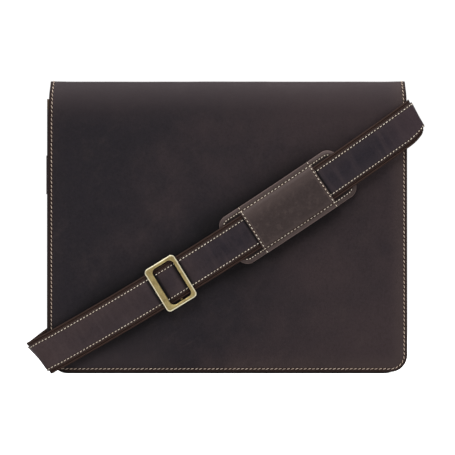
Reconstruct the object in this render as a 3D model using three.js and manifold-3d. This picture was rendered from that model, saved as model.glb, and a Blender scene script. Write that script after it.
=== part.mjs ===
// A flap-over leather briefcase that stands on its base, with its shoulder strap wrapped round it.
// Millimetres. X runs to the right, Y to the back and Z up. The base stands on Z = 0.
import * as THREE from "three";
import Module from "manifold-3d";
import { mergeVertices } from "three/addons/utils/BufferGeometryUtils.js";

const { clamp, degToRad, lerp, smoothstep } = THREE.MathUtils;

// Driving dimensions: the body, its flap and the leather they are cut from
const GAP = 0.3;
const BODY = {
  middle: -1.4, halfWidth: 189.4, corner: 23.4, backY: 31, panel: 2, backTop: 290, frontTop: 279,
};
const FLAP = {
  width: 379.2, middle: 0.3, hem: 1.5, top: 309, corner: 18, leather: 2.2, overPanel: 1,
  rollDepth: 18, rollHeight: 36, rearRadius: 18, rearHem: 256, topNarrowing: 0.8, rearNarrowing: 6,
};
const FRONT_FACE = { bottomY: -28.2, topY: -19.7, crown: 4, crownHalfWidth: 190, crownPower: 4 };
const GUSSET = { top: 290, inset: 7, leather: 1.8 };

// Driving dimensions: the strap, its rings, its slider and its pad
const WEBBING = { width: 40, thick: 1.3 };
const FACING = { width: 33, thick: 1.5, overWebbing: 0.3, ringMargin: 38, sliderMargin: 25 };
const RING = { height: 48, width: 14, bar: 3, corner: 4, bevel: 0.9, middleZ: 210, tabBarY: -1, sewn: 14 };
const TAB = { width: 34, length: 12.5, leather: 1.8, eyeEnd: 135 };
const RIM = { clear: 0.5, bend: 1.2 };
const SLIDER = {
  x: -60.5, aside: -1, length: 36.4, width: 51.6, corner: 4.4, plate: 2.6, bevel: 0.4, underPlate: 6.9,
  wideBar: 7.2, thinBar: 4.4, endBar: 3.9, windowCorner: 5,
  barRadius: 1.3, barHeight: 3.2, lug: 3, lugMargin: 1, sewnLoop: 16,
};
const PAD = { x: 63.4, length: 147.5, width: 57, corner: 12, thick: 5.5, edge: 3.2, flatShare: 0.74 };
const BRIDGE = { length: 90, thick: 1.8, flatHalf: 20.6, footHalf: 23.6 };
const TAIL_END_X = -150;

// The front run of the strap: a shallow sag between the middles of its two folds.
const RUN = { left: { x: -196.9, z: 16.4 }, right: { x: 201.1, z: 270.7 }, sag: 2.1e-4 };

// The two folds of the strap round the body, each at an end of the front run. Lean is the angle of the
// fold's axis from upright in degrees and reach its distance from the origin along the leaning normal.
const FOLDS = {
  left: {
    side: -1, end: RUN.left, lean: 37.5, reach: 142.5,
    frontBend: 2, backBend: 1.6, frontLift: 0.4, backLift: RIM.clear,
  },
  right: {
    side: 1, end: RUN.right, lean: 30, reach: 308.3,
    frontBend: 8, backBend: 7, frontLift: 5.2, backLift: 5.8,
  },
};

// Height of the long strap over the flap: on the short strap, over the slider's bar, on the pad.
const PAD_LIFT = 2 * GAP + PAD.thick;
const LONG_LIFT = [
  { x: -84, lift: 3.7 },
  { x: -76, lift: 3.5 },
  { x: -67.5, lift: 3.5 },
  { x: -60.5, lift: 6.4 },
  { x: -56, lift: 6.4 },
  { x: -49, lift: 3.5 },
  { x: -40, lift: 3.5 },
  { x: 0, lift: PAD_LIFT },
  { x: 130, lift: PAD_LIFT },
  { x: 185, lift: 5 },
];
// Height of the short strap over the flap, from the fold to the slider's bar.
const SHORT_LIFT = [
  { x: -84, lift: GAP },
  { x: -76, lift: 1.9 },
  { x: -67.5, lift: 1.9 },
  { x: -60.5, lift: 4.8 },
];
// Height of the long strap over the back panel: it clears the flap's rear hem on the right.
const BACK_LIFT = [
  { x: -20, lift: RIM.clear },
  { x: 30, lift: 3.9 },
  { x: 190, lift: 5.8 },
];
// Stretches of the front run and the number of steps in each.
const LONG_STEPS = [
  { from: 186, to: -38, steps: 25 },
  { from: -44, to: -72, steps: 14 },
  { from: -78, to: -182, steps: 11 },
];
const SHORT_STEPS = [
  { from: -60, to: -84, steps: 12 },
  { from: -92, to: -182, steps: 9 },
];
const STEPS = { corner: 5, arch: 6, fold: 10, backRun: 24, loop: 8, side: 8, strapAcross: 2 };
const PANEL_STEPS = {
  front: { across: 12, up: 10 }, back: { across: 6, up: 4 }, flap: { across: 14, up: 12 },
};
const PAD_STEPS = { across: 12, end: 4, half: 4, bridge: 8 };
const METAL_STEPS = { ring: 3, slider: 5, bar: 12 };

const COLOURS = {
  leather: { color: 0x302b2c, roughness: 0.55, metalness: 0 },
  facing: { color: 0x2a2524, roughness: 0.55, metalness: 0 },
  webbing: { color: 0x241d1a, roughness: 0.9, metalness: 0 },
  pad: { color: 0x403836, roughness: 0.65, metalness: 0 },
  brass: { color: 0x9c8a55, roughness: 0.38, metalness: 1 },
};

// Sizes that follow from the driving dimensions
const LAYERS = WEBBING.thick + FACING.overWebbing + FACING.thick;
const ROLL_Z = FLAP.top - FLAP.rollHeight;
const TAB_EYE = RING.bar / 2 + 2 * GAP + TAB.leather;
const RING_WRAP = RING.bar / 2 + 2 * GAP;
const STRAP_BAR_Y = RING.tabBarY + RING.width - RING.bar;
const SLIDER_BAR_OFFSET = (SLIDER.wideBar - SLIDER.thinBar) / 2;

const bag = new THREE.Group();
const wasm = await Module();
wasm.setup();

function add(name, geometry, look) {
  const mesh = new THREE.Mesh(geometry, new THREE.MeshStandardMaterial(COLOURS[look]));
  mesh.name = name;
  bag.add(mesh);
  return mesh;
}

function span(from, to, steps) {
  return Array.from({ length: steps + 1 }, (_, i) => lerp(from, to, i / steps));
}

function turns(from, to, steps) {
  return span(degToRad(from), degToRad(to), steps);
}

// The item of a list at a share of its length.
function atShare(list, share) {
  return list[Math.round(share * (list.length - 1))];
}

// A closed sheet: a box of cells, each corner of which place(across, along, face) sets.
function sheet(across, along, place) {
  const box = new THREE.BoxGeometry(1, 1, 1, across, along, 1);
  const spots = box.attributes.position;
  for (let i = 0; i < spots.count; i += 1) {
    const face = spots.getZ(i) > 0 ? 1 : 0;
    const spot = place(spots.getX(i) + 0.5, spots.getY(i) + 0.5, face);
    spots.setXYZ(i, spot.x, spot.y, spot.z);
  }
  box.computeVertexNormals();
  return box;
}

// A height read from a table, with an eased step from each row to the next.
function easedLift(table, x) {
  const passed = table.filter((row) => row.x <= x);
  const low = passed.at(-1) ?? table[0];
  const high = table[passed.length] ?? low;
  return lerp(low.lift, high.lift, smoothstep(x, low.x, high.x));
}

// The outer face of the flap's front, leaning back to the top and crowned in the middle.
function frontFaceY(x, z) {
  const rise = z / ROLL_Z;
  const lean = lerp(FRONT_FACE.bottomY, FRONT_FACE.topY, rise);
  const sideways = 1 - Math.min(1, Math.abs(x) / FRONT_FACE.crownHalfWidth) ** FRONT_FACE.crownPower;
  return lean - FRONT_FACE.crown * Math.sin(Math.PI * clamp(rise, 0, 1)) * sideways;
}

function frontPanelY(x, z) {
  return frontFaceY(x, z) + FLAP.leather + FLAP.overPanel;
}

// Half the width of a panel with rounded bottom corners, at a height over its lower edge.
function roundedHalf(half, corner, height) {
  const below = Math.max(0, corner - height);
  return half - corner + Math.sqrt(corner * corner - below * below);
}

// Heights of the rows of such a panel: close together round its corners.
function panelRows(corner, top, steps) {
  const low = turns(0, 90, STEPS.corner).map((turn) => corner * (1 - Math.cos(turn)));
  return [...low, ...span(corner, top, steps).slice(1)];
}

function panel(top, steps, place) {
  const rows = panelRows(BODY.corner, top, steps.up);
  return sheet(steps.across, rows.length - 1, (across, along, face) => {
    const z = atShare(rows, along);
    const x = BODY.middle + (2 * across - 1) * roundedHalf(BODY.halfWidth, BODY.corner, z);
    return new THREE.Vector3(x, place(x, z, face), z);
  });
}

function frontPanel() {
  const place = (x, z, face) => frontPanelY(x, z) + (1 - face) * BODY.panel;
  return panel(BODY.frontTop, PANEL_STEPS.front, place);
}

function backPanel() {
  const place = (x, z, face) => BODY.backY - face * BODY.panel;
  return panel(BODY.backTop, PANEL_STEPS.back, place);
}

// The gusset's outline from the front: down the left side, along the base and up the right side.
function gussetOutline() {
  const { halfWidth, corner, middle } = BODY;
  const heights = span(GUSSET.top, corner, STEPS.side).slice(0, -1);
  const side = heights.map((z) => ({ x: halfWidth, z, nx: 1, nz: 0 }));
  const round = turns(0, 90, STEPS.arch).map((turn) => ({
    x: halfWidth - corner * (1 - Math.cos(turn)),
    z: corner * (1 - Math.sin(turn)),
    nx: Math.cos(turn),
    nz: -Math.sin(turn),
  }));
  const left = [...side, ...round].map((p) => ({ ...p, x: -p.x, nx: -p.nx }));
  const right = [...side, ...round].reverse();
  return [...left, ...right].map((p) => ({ ...p, x: p.x + middle }));
}

// The gusset: a channel whose two edges are sewn inside the rims of the panels.
function gusset() {
  const outline = gussetOutline();
  const { inset, leather } = GUSSET;
  const edge = { inner: { fromSeam: 0, depth: 0 }, outer: { fromSeam: leather, depth: 0 } };
  const bend = { inner: { fromSeam: 0, depth: inset + leather }, outer: { fromSeam: leather, depth: inset } };
  const columns = [
    { seam: "back", ...edge },
    { seam: "back", ...bend },
    { seam: "front", ...bend },
    { seam: "front", ...edge },
  ];
  return sheet(outline.length - 1, columns.length - 1, (along, across, face) => {
    const p = atShare(outline, along);
    const column = atShare(columns, across);
    const { fromSeam, depth } = face ? column.outer : column.inner;
    const frontY = frontPanelY(p.x, p.z) + BODY.panel + GAP + fromSeam;
    const backY = BODY.backY - BODY.panel - GAP - fromSeam;
    const y = column.seam === "front" ? frontY : backY;
    return new THREE.Vector3(p.x - p.nx * depth, y, p.z - p.nz * depth);
  });
}

// The flap's outer face from the side: up the front, in a soft roll over the top, down to the rear hem.
function flapProfile() {
  const { top, rollDepth, rollHeight, rearRadius, hem, corner, rearHem, leather } = FLAP;
  const rearY = BODY.backY + GAP + leather;
  const quarter = turns(0, 90, STEPS.arch);
  const heights = panelRows(corner, ROLL_Z - hem, PANEL_STEPS.flap.up);
  const front = heights.map((height) => ({ z: height + hem, front: true }));
  const roll = quarter.slice(1).map((turn) => ({
    y: FRONT_FACE.topY + rollDepth * (1 - Math.cos(turn)),
    z: ROLL_Z + rollHeight * Math.sin(turn),
  }));
  const fall = quarter.map((turn) => ({
    y: rearY - rearRadius * (1 - Math.sin(turn)),
    z: top - rearRadius * (1 - Math.cos(turn)),
  }));
  return [...front, ...roll, ...fall, { y: rearY, z: rearHem }];
}

// Half the flap's width: it narrows a little up to the ridge, and more from there to the rear hem.
function flapHalfWidth(row) {
  const half = roundedHalf(FLAP.width / 2, FLAP.corner, row.z - FLAP.hem);
  const up = smoothstep(row.z, FLAP.rearHem, FLAP.top);
  const rear = !row.front && row.y > (FRONT_FACE.topY + BODY.backY) / 2;
  return half - lerp(rear ? FLAP.rearNarrowing : 0, FLAP.topNarrowing, up);
}

function flap() {
  const profile = flapProfile();
  const last = profile.length - 1;
  const outerY = (row, x) => (row.front ? frontFaceY(x, row.z) : row.y);
  return sheet(PANEL_STEPS.flap.across, last, (across, along, face) => {
    const i = Math.round(along * last);
    const row = profile[i];
    const x = FLAP.middle + (2 * across - 1) * flapHalfWidth(row);
    const before = profile[Math.max(0, i - 1)];
    const after = profile[Math.min(last, i + 1)];
    const rise = new THREE.Vector2(outerY(after, x) - outerY(before, x), after.z - before.z).normalize();
    const inward = (1 - face) * FLAP.leather;
    return new THREE.Vector3(x, outerY(row, x) + rise.y * inward, row.z - rise.x * inward);
  });
}

// Height and slope of the strap's middle along its front run.
function runZ(x) {
  const { left, right, sag } = RUN;
  const chord = lerp(left.z, right.z, (x - left.x) / (right.x - left.x));
  return chord - sag * (x - left.x) * (right.x - x);
}

function runSlope(x) {
  return Math.atan(runZ(x + 0.5) - runZ(x - 0.5));
}

// A point of the front run: x of the strap's middle, place across its width, height over the flap.
function onRun(x, across, lift) {
  const slope = runSlope(x);
  const px = x - across * Math.sin(slope);
  const pz = runZ(x) + across * Math.cos(slope);
  return new THREE.Vector3(px, frontFaceY(px, pz) - lift, pz);
}

// A station of the strap: the middle of its inner face and the direction across it to its upper edge.
function runStation(x, lift) {
  const aside = WEBBING.width / 4;
  const up = onRun(x, aside, lift).sub(onRun(x, -aside, lift)).normalize();
  return { at: onRun(x, 0, lift), up };
}

function runStations(stretches, table) {
  const xs = stretches.flatMap(({ from, to, steps }) => span(from, to, steps));
  return xs.map((x) => runStation(x, easedLift(table, x)));
}

// Stations round a leaning fold, from the front to the back. The front run isn't square to the fold's
// axis, so in the front bend the strap climbs along the axis and turns until it is.
function foldStations(fold, lift) {
  const lean = degToRad(fold.lean);
  const axis = new THREE.Vector3(-Math.sin(lean), 0, Math.cos(lean));
  const out = new THREE.Vector3(Math.cos(lean), 0, Math.sin(lean)).multiplyScalar(fold.side);
  const climb = Math.tan(fold.side * (runSlope(fold.end.x) - lean));
  const cross = axis.x * fold.end.x + axis.z * fold.end.z;
  const frontY = frontFaceY(fold.end.x, fold.end.z) - fold.frontLift - lift;
  const backY = BODY.backY + fold.backLift + lift;
  const front = fold.frontBend + lift;
  const back = fold.backBend + lift;
  const reach = fold.reach + lift;
  const frontPath = turns(0, 90, STEPS.fold).map((turn) => ({
    turn,
    far: reach - front * (1 - Math.sin(turn)),
    y: frontY + front * (1 - Math.cos(turn)),
  }));
  const backPath = turns(90, 180, STEPS.fold).map((turn) => ({
    turn: Math.PI / 2,
    far: reach - back * (1 - Math.sin(turn)),
    y: backY - back * (1 + Math.cos(turn)),
  }));
  const side = { turn: Math.PI / 2, far: reach, y: (frontY + backY) / 2 };
  return [...frontPath, side, ...backPath].map(({ turn, far, y }) => {
    const along = cross + climb * (front * turn - fold.frontBend);
    const at = axis.clone().multiplyScalar(along).addScaledVector(out, far).setY(y);
    return { at, up: axis.clone().addScaledVector(out, -climb * Math.cos(turn)).normalize() };
  });
}

// Stations of a back run, which eases from the lean of a fold to level at a ring.
function backStations(from, edgeX, lift) {
  const start = from.at;
  const climb = RING.middleZ - start.z;
  const steep = Math.abs(from.up.x / from.up.z);
  const power = (steep * Math.abs(edgeX - start.x)) / Math.abs(climb);
  const shares = span(0, 1, STEPS.backRun).slice(1, -1);
  return shares.map((share) => {
    const x = lerp(start.x, edgeX, share);
    const slope = Math.atan(steep * (1 - share) ** (power - 1));
    const z = RING.middleZ - climb * (1 - share) ** power;
    const up = new THREE.Vector3(-Math.sin(slope), 0, Math.cos(slope));
    return { at: new THREE.Vector3(x, BODY.backY + lift(x), z), up };
  });
}

// Where a strap's inner face passes the rim of the body's side.
function rimX(side) {
  return BODY.middle + side * (BODY.halfWidth + RIM.clear);
}

// The middle of a ring's bars, which lie over the gusset's face.
function ringX(side) {
  return BODY.middle + side * (BODY.halfWidth - GUSSET.inset + GAP + TAB_EYE);
}

// Stations from the back panel's edge, over the rim, round the ring's bar, to the sewn end.
function ringStations(side) {
  const edge = rimX(side);
  const barX = ringX(side);
  const backY = BODY.backY + RIM.clear;
  const path = [
    ...turns(0, 90, STEPS.fold).map((turn) => ({
      x: edge - side * RIM.bend * (1 - Math.sin(turn)),
      y: backY - RIM.bend * (1 - Math.cos(turn)),
    })),
    { x: edge, y: BODY.backY - BODY.panel - GUSSET.leather },
    ...turns(0, 180, STEPS.loop).map((turn) => ({
      x: barX + side * RING_WRAP * Math.cos(turn),
      y: STRAP_BAR_Y - RING_WRAP * Math.sin(turn),
    })),
    { x: barX - side * RING_WRAP, y: STRAP_BAR_Y + RING.sewn },
  ];
  const up = new THREE.Vector3(0, 0, 1);
  return path.map(({ x, y }) => ({ at: new THREE.Vector3(x, y, RING.middleZ), up }));
}

// Stations of the sewn loop round the slider's centre bar, from its end under the strap.
function sliderLoopStations() {
  const shrink = Math.cos(runSlope(SLIDER.x));
  const wrap = SLIDER.barRadius + GAP;
  const { barHeight, sewnLoop } = SLIDER;
  const station = (along, height) => runStation(SLIDER.x + (SLIDER_BAR_OFFSET + along) * shrink, height);
  const round = turns(-90, 90, STEPS.loop);
  return [
    station(-sewnLoop, barHeight - wrap),
    station(-sewnLoop / 2, barHeight - wrap),
    ...round.map((turn) => station(wrap * Math.cos(turn), barHeight + wrap * Math.sin(turn))),
  ];
}

// A strip along stations: its width, and the heights of its two faces over the strap's inner face.
function strip(stations, width, low, high) {
  const last = stations.length - 1;
  const outward = stations.map(({ up }, i) => {
    const ahead = stations[Math.min(last, i + 1)].at.clone().sub(stations[Math.max(0, i - 1)].at);
    return up.clone().cross(ahead).normalize();
  });
  return sheet(last, STEPS.strapAcross, (along, across, face) => {
    const i = Math.round(along * last);
    const { at, up } = stations[i];
    const spot = at.clone().addScaledVector(up, width * (0.5 - across));
    return spot.addScaledVector(outward[i], face ? high : low);
  });
}

// One strap: webbing along all its stations and a leather facing along some of them.
function strap(name, stations, facingStart, facingEnd) {
  const faced = stations.slice(facingStart, facingEnd);
  add(`${name}_webbing`, strip(stations, WEBBING.width, 0, WEBBING.thick), "webbing");
  add(`${name}_facing`, strip(faced, FACING.width, LAYERS - FACING.thick, LAYERS), "facing");
}

function clearOfRings({ at }) {
  return Math.abs(at.x - BODY.middle) < BODY.halfWidth - FACING.ringMargin;
}

// The long strap: left ring, back, right fold, front with pad and slider, left fold, tail.
function longStrap() {
  const upper = foldStations(FOLDS.right, 0).reverse();
  const ring = ringStations(-1).reverse();
  const back = backStations(upper[0], rimX(-1) + RIM.bend, (x) => easedLift(BACK_LIFT, x)).reverse();
  const lower = foldStations(FOLDS.left, LAYERS + GAP);
  const behind = backStations(lower.at(-1), rimX(1), () => LAYERS + GAP + RIM.clear);
  const tail = behind.filter(({ at }) => at.x < TAIL_END_X);
  const run = runStations(LONG_STEPS, LONG_LIFT);
  const stations = [...ring, ...back, ...upper, ...run, ...lower, ...tail];
  strap("long_strap", stations, ring.length + back.findIndex(clearOfRings), stations.length);
}

// The short strap: slider's centre bar, front under the tail, left fold, back, right ring.
function shortStrap() {
  const loop = sliderLoopStations();
  const run = runStations(SHORT_STEPS, SHORT_LIFT);
  const lower = foldStations(FOLDS.left, 0);
  const back = backStations(lower.at(-1), rimX(1) - RIM.bend, () => RIM.clear);
  const stations = [...loop, ...run, ...lower, ...back, ...ringStations(1)];
  const start = loop.length + run.findIndex(({ at }) => at.x < SLIDER.x - FACING.sliderMargin);
  strap("short_strap", stations, start, stations.findLastIndex(clearOfRings));
}

function roundedRectangle(path, middle, length, width, corner) {
  const x = length / 2 - corner;
  const y = width / 2 - corner;
  path.moveTo(middle - x, -y - corner);
  path.lineTo(middle + x, -y - corner);
  path.absarc(middle + x, -y, corner, -Math.PI / 2, 0);
  path.lineTo(middle + x + corner, y);
  path.absarc(middle + x, y, corner, 0, Math.PI / 2);
  path.lineTo(middle - x, y + corner);
  path.absarc(middle - x, y, corner, Math.PI / 2, Math.PI);
  path.lineTo(middle - x - corner, -y);
  path.absarc(middle - x, -y, corner, Math.PI, 1.5 * Math.PI);
  return path;
}

// A bevelled frame of metal: an outline with one window, centred on the middle of its thickness.
function frame(outer, window, thick, bevel, curveSegments) {
  const grow = 2 * bevel;
  const rim = { length: outer.length - grow, width: outer.width - grow };
  const hole = { length: window.length + grow, width: window.width + grow };
  const outline = roundedRectangle(new THREE.Shape(), 0, rim.length, rim.width, outer.corner);
  const opening = roundedRectangle(new THREE.Path(), window.middle, hole.length, hole.width, window.corner);
  outline.holes.push(opening);
  const depth = thick - grow;
  const options = { depth, bevelSize: bevel, bevelThickness: bevel, bevelSegments: 1, curveSegments };
  return new THREE.ExtrudeGeometry(outline, options).translate(0, 0, -depth / 2);
}

// A ring lies in the plane of the gusset. The tab holds its front bar and the strap its rear bar.
function ring() {
  const { width, height, bar, corner, bevel } = RING;
  const outer = { length: width, width: height, corner };
  const window = { middle: 0, length: width - 2 * bar, width: height - 2 * bar, corner: corner / 2 };
  return frame(outer, window, bar, bevel, METAL_STEPS.ring).translate((width - bar) / 2, 0, 0);
}

// A tab is a strip of leather folded round the ring's bar, with its two ends sewn together.
function ringTab() {
  const doubled = 2 * TAB.leather - TAB_EYE;
  const outline = new THREE.Shape();
  outline.moveTo(-TAB.length, -TAB_EYE);
  outline.lineTo(0, -TAB_EYE);
  outline.absarc(0, 0, TAB_EYE, -Math.PI / 2, degToRad(TAB.eyeEnd));
  outline.lineTo(-TAB.length / 2, doubled);
  outline.lineTo(-TAB.length, doubled);
  outline.closePath();
  outline.holes.push(new THREE.Path().absarc(0, 0, TAB_EYE - TAB.leather, 0, 2 * Math.PI));
  const options = { depth: TAB.width, bevelEnabled: false, curveSegments: STEPS.loop };
  return new THREE.ExtrudeGeometry(outline, options).translate(0, 0, -TAB.width / 2);
}

function turnTo(mesh, xAxis, yAxis, zAxis) {
  mesh.quaternion.setFromRotationMatrix(new THREE.Matrix4().makeBasis(xAxis, yAxis, zAxis));
}

function ringsAndTabs() {
  const right = new THREE.Vector3(1, 0, 0);
  const back = new THREE.Vector3(0, 1, 0);
  const up = new THREE.Vector3(0, 0, 1);
  for (const { place, side } of [{ place: "left", side: -1 }, { place: "right", side: 1 }]) {
    const at = new THREE.Vector3(ringX(side), RING.tabBarY, RING.middleZ);
    const out = right.clone().multiplyScalar(side);
    const metal = add(`ring_${place}`, ring(), "brass");
    metal.position.copy(at);
    turnTo(metal, back, up, right);
    const tab = add(`ring_tab_${place}`, ringTab(), "leather");
    tab.position.copy(at);
    turnTo(tab, back, out, back.clone().cross(out));
  }
}

function solid(geometry) {
  const bare = geometry.clone();
  bare.deleteAttribute("normal");
  bare.deleteAttribute("uv");
  const merged = mergeVertices(bare, 1e-4);
  const vertProperties = merged.attributes.position.array;
  return new wasm.Manifold(new wasm.Mesh({ numProp: 3, vertProperties, triVerts: merged.index.array }));
}

function fromSolid(body) {
  const { vertProperties, triVerts } = body.getMesh();
  const geometry = new THREE.BufferGeometry();
  geometry.setAttribute("position", new THREE.BufferAttribute(vertProperties, 3));
  geometry.setIndex(new THREE.BufferAttribute(triVerts, 1));
  geometry.computeVertexNormals();
  return geometry;
}

// The slider: a plate with one window, and a centre bar hung under it on two lugs.
function sliderBuckle() {
  const { length, width, corner, plate, underPlate, endBar, barRadius, barHeight } = SLIDER;
  const window = {
    middle: SLIDER_BAR_OFFSET,
    length: length - SLIDER.wideBar - SLIDER.thinBar,
    width: width - 2 * endBar,
    corner: SLIDER.windowCorner,
  };
  const plateHeight = underPlate + plate / 2;
  const face = frame({ length, width, corner }, window, plate, SLIDER.bevel, METAL_STEPS.slider);
  face.translate(0, 0, plateHeight);
  const bar = new THREE.CylinderGeometry(barRadius, barRadius, width - endBar, METAL_STEPS.bar);
  bar.translate(SLIDER_BAR_OFFSET, 0, barHeight);
  const drop = plateHeight - barHeight;
  const lugs = [-1, 1].map((side) => {
    const lug = new THREE.BoxGeometry(SLIDER.lug, endBar - SLIDER.lugMargin, drop);
    return lug.translate(SLIDER_BAR_OFFSET, (side * (width - endBar)) / 2, barHeight + drop / 2);
  });
  return fromSolid([bar, ...lugs].reduce((body, piece) => body.add(solid(piece)), solid(face)));
}

function slider() {
  const mesh = add("slider_buckle", sliderBuckle(), "brass");
  const aside = SLIDER.length / 4;
  const along = onRun(SLIDER.x + aside, 0, 0).sub(onRun(SLIDER.x - aside, 0, 0)).normalize();
  const out = along.clone().cross(runStation(SLIDER.x, 0).up).normalize();
  mesh.position.copy(onRun(SLIDER.x, SLIDER.aside, 0));
  turnTo(mesh, along, out.clone().cross(along), out);
}

// A point of the shoulder pad, laid along the front run.
function onPad(along, across, lift) {
  return onRun(PAD.x + along * Math.cos(runSlope(PAD.x)), across, lift);
}

function shoulderPad() {
  const half = PAD.length / 2;
  const halfWidth = PAD.width / 2;
  const end = turns(0, 90, PAD_STEPS.end).map((turn) => half - PAD.corner * (1 - Math.cos(turn)));
  const right = [...end, ...span(half - PAD.corner, 0, PAD_STEPS.half).slice(1)];
  const stations = [...right.slice(0, -1).map((along) => -along), ...right.toReversed()];
  return sheet(stations.length - 1, PAD_STEPS.across, (along, across, face) => {
    const at = atShare(stations, along);
    const side = 2 * across - 1;
    const width = roundedHalf(halfWidth, PAD.corner, half - Math.abs(at));
    const edge = Math.max(Math.abs(side), 1 + (Math.abs(at) - half) / halfWidth);
    const height = lerp(PAD.thick, PAD.edge, smoothstep(edge, PAD.flatShare, 1));
    return onPad(at, side * width, GAP + face * height);
  });
}

// The pad's bridge: its two long edges are sewn to the pad, and the strap runs under its middle.
function padBridge() {
  const { flatHalf, footHalf, thick, length } = BRIDGE;
  const right = [0, flatHalf / 2, flatHalf, footHalf, PAD.width / 2];
  const columns = [...right.slice(1).map((across) => -across).reverse(), ...right];
  const crest = PAD_LIFT + LAYERS + GAP;
  return sheet(PAD_STEPS.bridge, columns.length - 1, (along, across, face) => {
    const at = atShare(columns, across);
    const low = Math.abs(at) > flatHalf ? PAD_LIFT : crest;
    return onPad((along - 0.5) * length, at, low + face * thick);
  });
}

add("back_panel", backPanel(), "leather");
add("front_panel", frontPanel(), "leather");
add("gusset", gusset(), "leather");
add("flap", flap(), "leather");
ringsAndTabs();
longStrap();
shortStrap();
slider();
add("shoulder_pad", shoulderPad(), "pad");
add("pad_bridge", padBridge(), "leather");

export default bag;
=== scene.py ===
"""Leather, webbing, thread and brass for a flap-over briefcase with a wrapped shoulder strap."""

import math
from types import SimpleNamespace as Sizes

import bpy
import numpy as np
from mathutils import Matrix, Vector, noise


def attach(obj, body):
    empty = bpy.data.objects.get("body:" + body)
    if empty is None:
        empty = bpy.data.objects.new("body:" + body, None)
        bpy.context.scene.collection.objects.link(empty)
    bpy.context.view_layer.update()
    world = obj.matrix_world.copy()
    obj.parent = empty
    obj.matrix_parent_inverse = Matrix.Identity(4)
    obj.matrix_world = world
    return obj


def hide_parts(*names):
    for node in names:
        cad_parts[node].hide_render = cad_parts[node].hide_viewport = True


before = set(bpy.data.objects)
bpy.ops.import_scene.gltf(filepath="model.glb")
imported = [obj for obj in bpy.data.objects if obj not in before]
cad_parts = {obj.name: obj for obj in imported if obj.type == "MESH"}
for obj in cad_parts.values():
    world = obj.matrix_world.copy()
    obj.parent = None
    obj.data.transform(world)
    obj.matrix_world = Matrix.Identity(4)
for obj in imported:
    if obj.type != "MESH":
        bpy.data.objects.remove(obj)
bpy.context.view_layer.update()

# Sizes in millimetres, as the part's source has them. X is to the right, Y to the back, Z up.
MM = 0.001
GAP = 0.3
BODY = Sizes(middle=-1.4, half=189.4, corner=23.4, back_y=31, panel=2, back_top=290, front_top=279)
FLAP = Sizes(half=189.6, middle=0.3, hem=1.5, top=309, corner=18, leather=2.2, over_panel=1,
             roll_depth=18, roll_height=36, rear_radius=18, rear_hem=256, top_narrowing=0.8,
             rear_narrowing=6)
FRONT = Sizes(bottom_y=-28.2, top_y=-19.7, crown=4, crown_half=190, crown_power=4)
GUSSET = Sizes(top=290, inset=7, leather=1.8, bend=2.2)
WEBBING = Sizes(width=40, thick=1.3, selvedge=0.6)
FACING = Sizes(width=33, thick=1.5, over_webbing=0.3, ring_margin=38, slider_margin=25)
RING = Sizes(height=48, width=14, bar=3, corner=4, middle_z=210, tab_bar_y=-1, sewn=14)
TAB = Sizes(width=34, length=12.5, leather=1.8, eye_end=135)
RIM = Sizes(clear=0.5, bend=1.2)
SLIDER = Sizes(x=-60.5, aside=-1, length=36.4, width=51.6, corner=4.4, under_plate=6.9, wide_bar=7.2,
               thin_bar=4.4, end_bar=3.9, window_corner=5, bar_radius=1.3, bar_height=3.2,
               lug_radius=1.6, sewn_loop=16)
PAD = Sizes(x=63.4, length=147.5, width=57, corner=12, thick=5.5)
BRIDGE = Sizes(length=90, thick=1.8, flat_half=20.6, foot_half=23.6)
TAIL_END_X = -150
RUN = Sizes(left=(-196.9, 16.4), right=(201.1, 270.7), sag=2.1e-4)
LEFT_FOLD = Sizes(side=-1, end=RUN.left, lean=37.5, reach=142.5, front_bend=2, back_bend=1.6,
                  front_lift=0.4, back_lift=RIM.clear)
RIGHT_FOLD = Sizes(side=1, end=RUN.right, lean=30, reach=308.3, front_bend=8, back_bend=7,
                   front_lift=5.2, back_lift=5.8)
LAYERS = WEBBING.thick + FACING.over_webbing + FACING.thick
ROLL_Z = FLAP.top - FLAP.roll_height
TAB_EYE = RING.bar / 2 + 2 * GAP + TAB.leather
RING_WRAP = RING.bar / 2 + 2 * GAP
STRAP_BAR_Y = RING.tab_bar_y + RING.width - RING.bar
SLIDER_BAR = (SLIDER.wide_bar - SLIDER.thin_bar) / 2
PAD_LIFT = 2 * GAP + PAD.thick

# Heights of the straps over the flap and the back panel: rows of x and lift.
LONG_LIFT = [(-84, 3.7), (-76, 3.5), (-67.5, 3.5), (-60.5, 6.4), (-56, 6.4), (-49, 3.5), (-40, 3.5),
             (0, PAD_LIFT), (130, PAD_LIFT), (185, 5)]
SHORT_LIFT = [(-84, GAP), (-76, 1.9), (-67.5, 1.9), (-60.5, 4.8)]
BACK_LIFT = [(-20, RIM.clear), (30, 3.9), (190, 5.8)]
# Stretches of the front run: rows of first x, last x and steps.
LONG_STEPS = [(186, -38, 25), (-44, -72, 14), (-78, -182, 11)]
SHORT_STEPS = [(-60, -84, 12), (-92, -182, 9)]

# From here on, what the scene adds to those sizes.
# Sewing: places of the rows, step from stitch to stitch, and the thread on the leather.
SEAM = Sizes(flap_edge=3.3, flap_pitch=4.4, rim_edge=4, hem_rows=(4, 10), strap_row=14.7,
             strap_pitch=3.85, pad_edge=4.9, pad_pitch=4.15, pad_end_pitch=3.3, bridge_end=43.6,
             bridge_side=23.4)
THREAD = Sizes(length=0.64, flap_length=0.86, width=0.8, sink=0.07, strap_sink=-0.03, groove=0.24,
               groove_width=0.8, slant=0.12, flap_slant=0.3, uneven=0.05)
# Radii of rounded edges.
ROUND = Sizes(flap=0.8, body=0.7, webbing=0.6, facing=0.6, bridge=0.7, tab=0.5)
# How much of a rounded edge or a hollow an inner face has.
INNER = Sizes(facing_round=0.8, flap_hollow=0.5)
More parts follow.
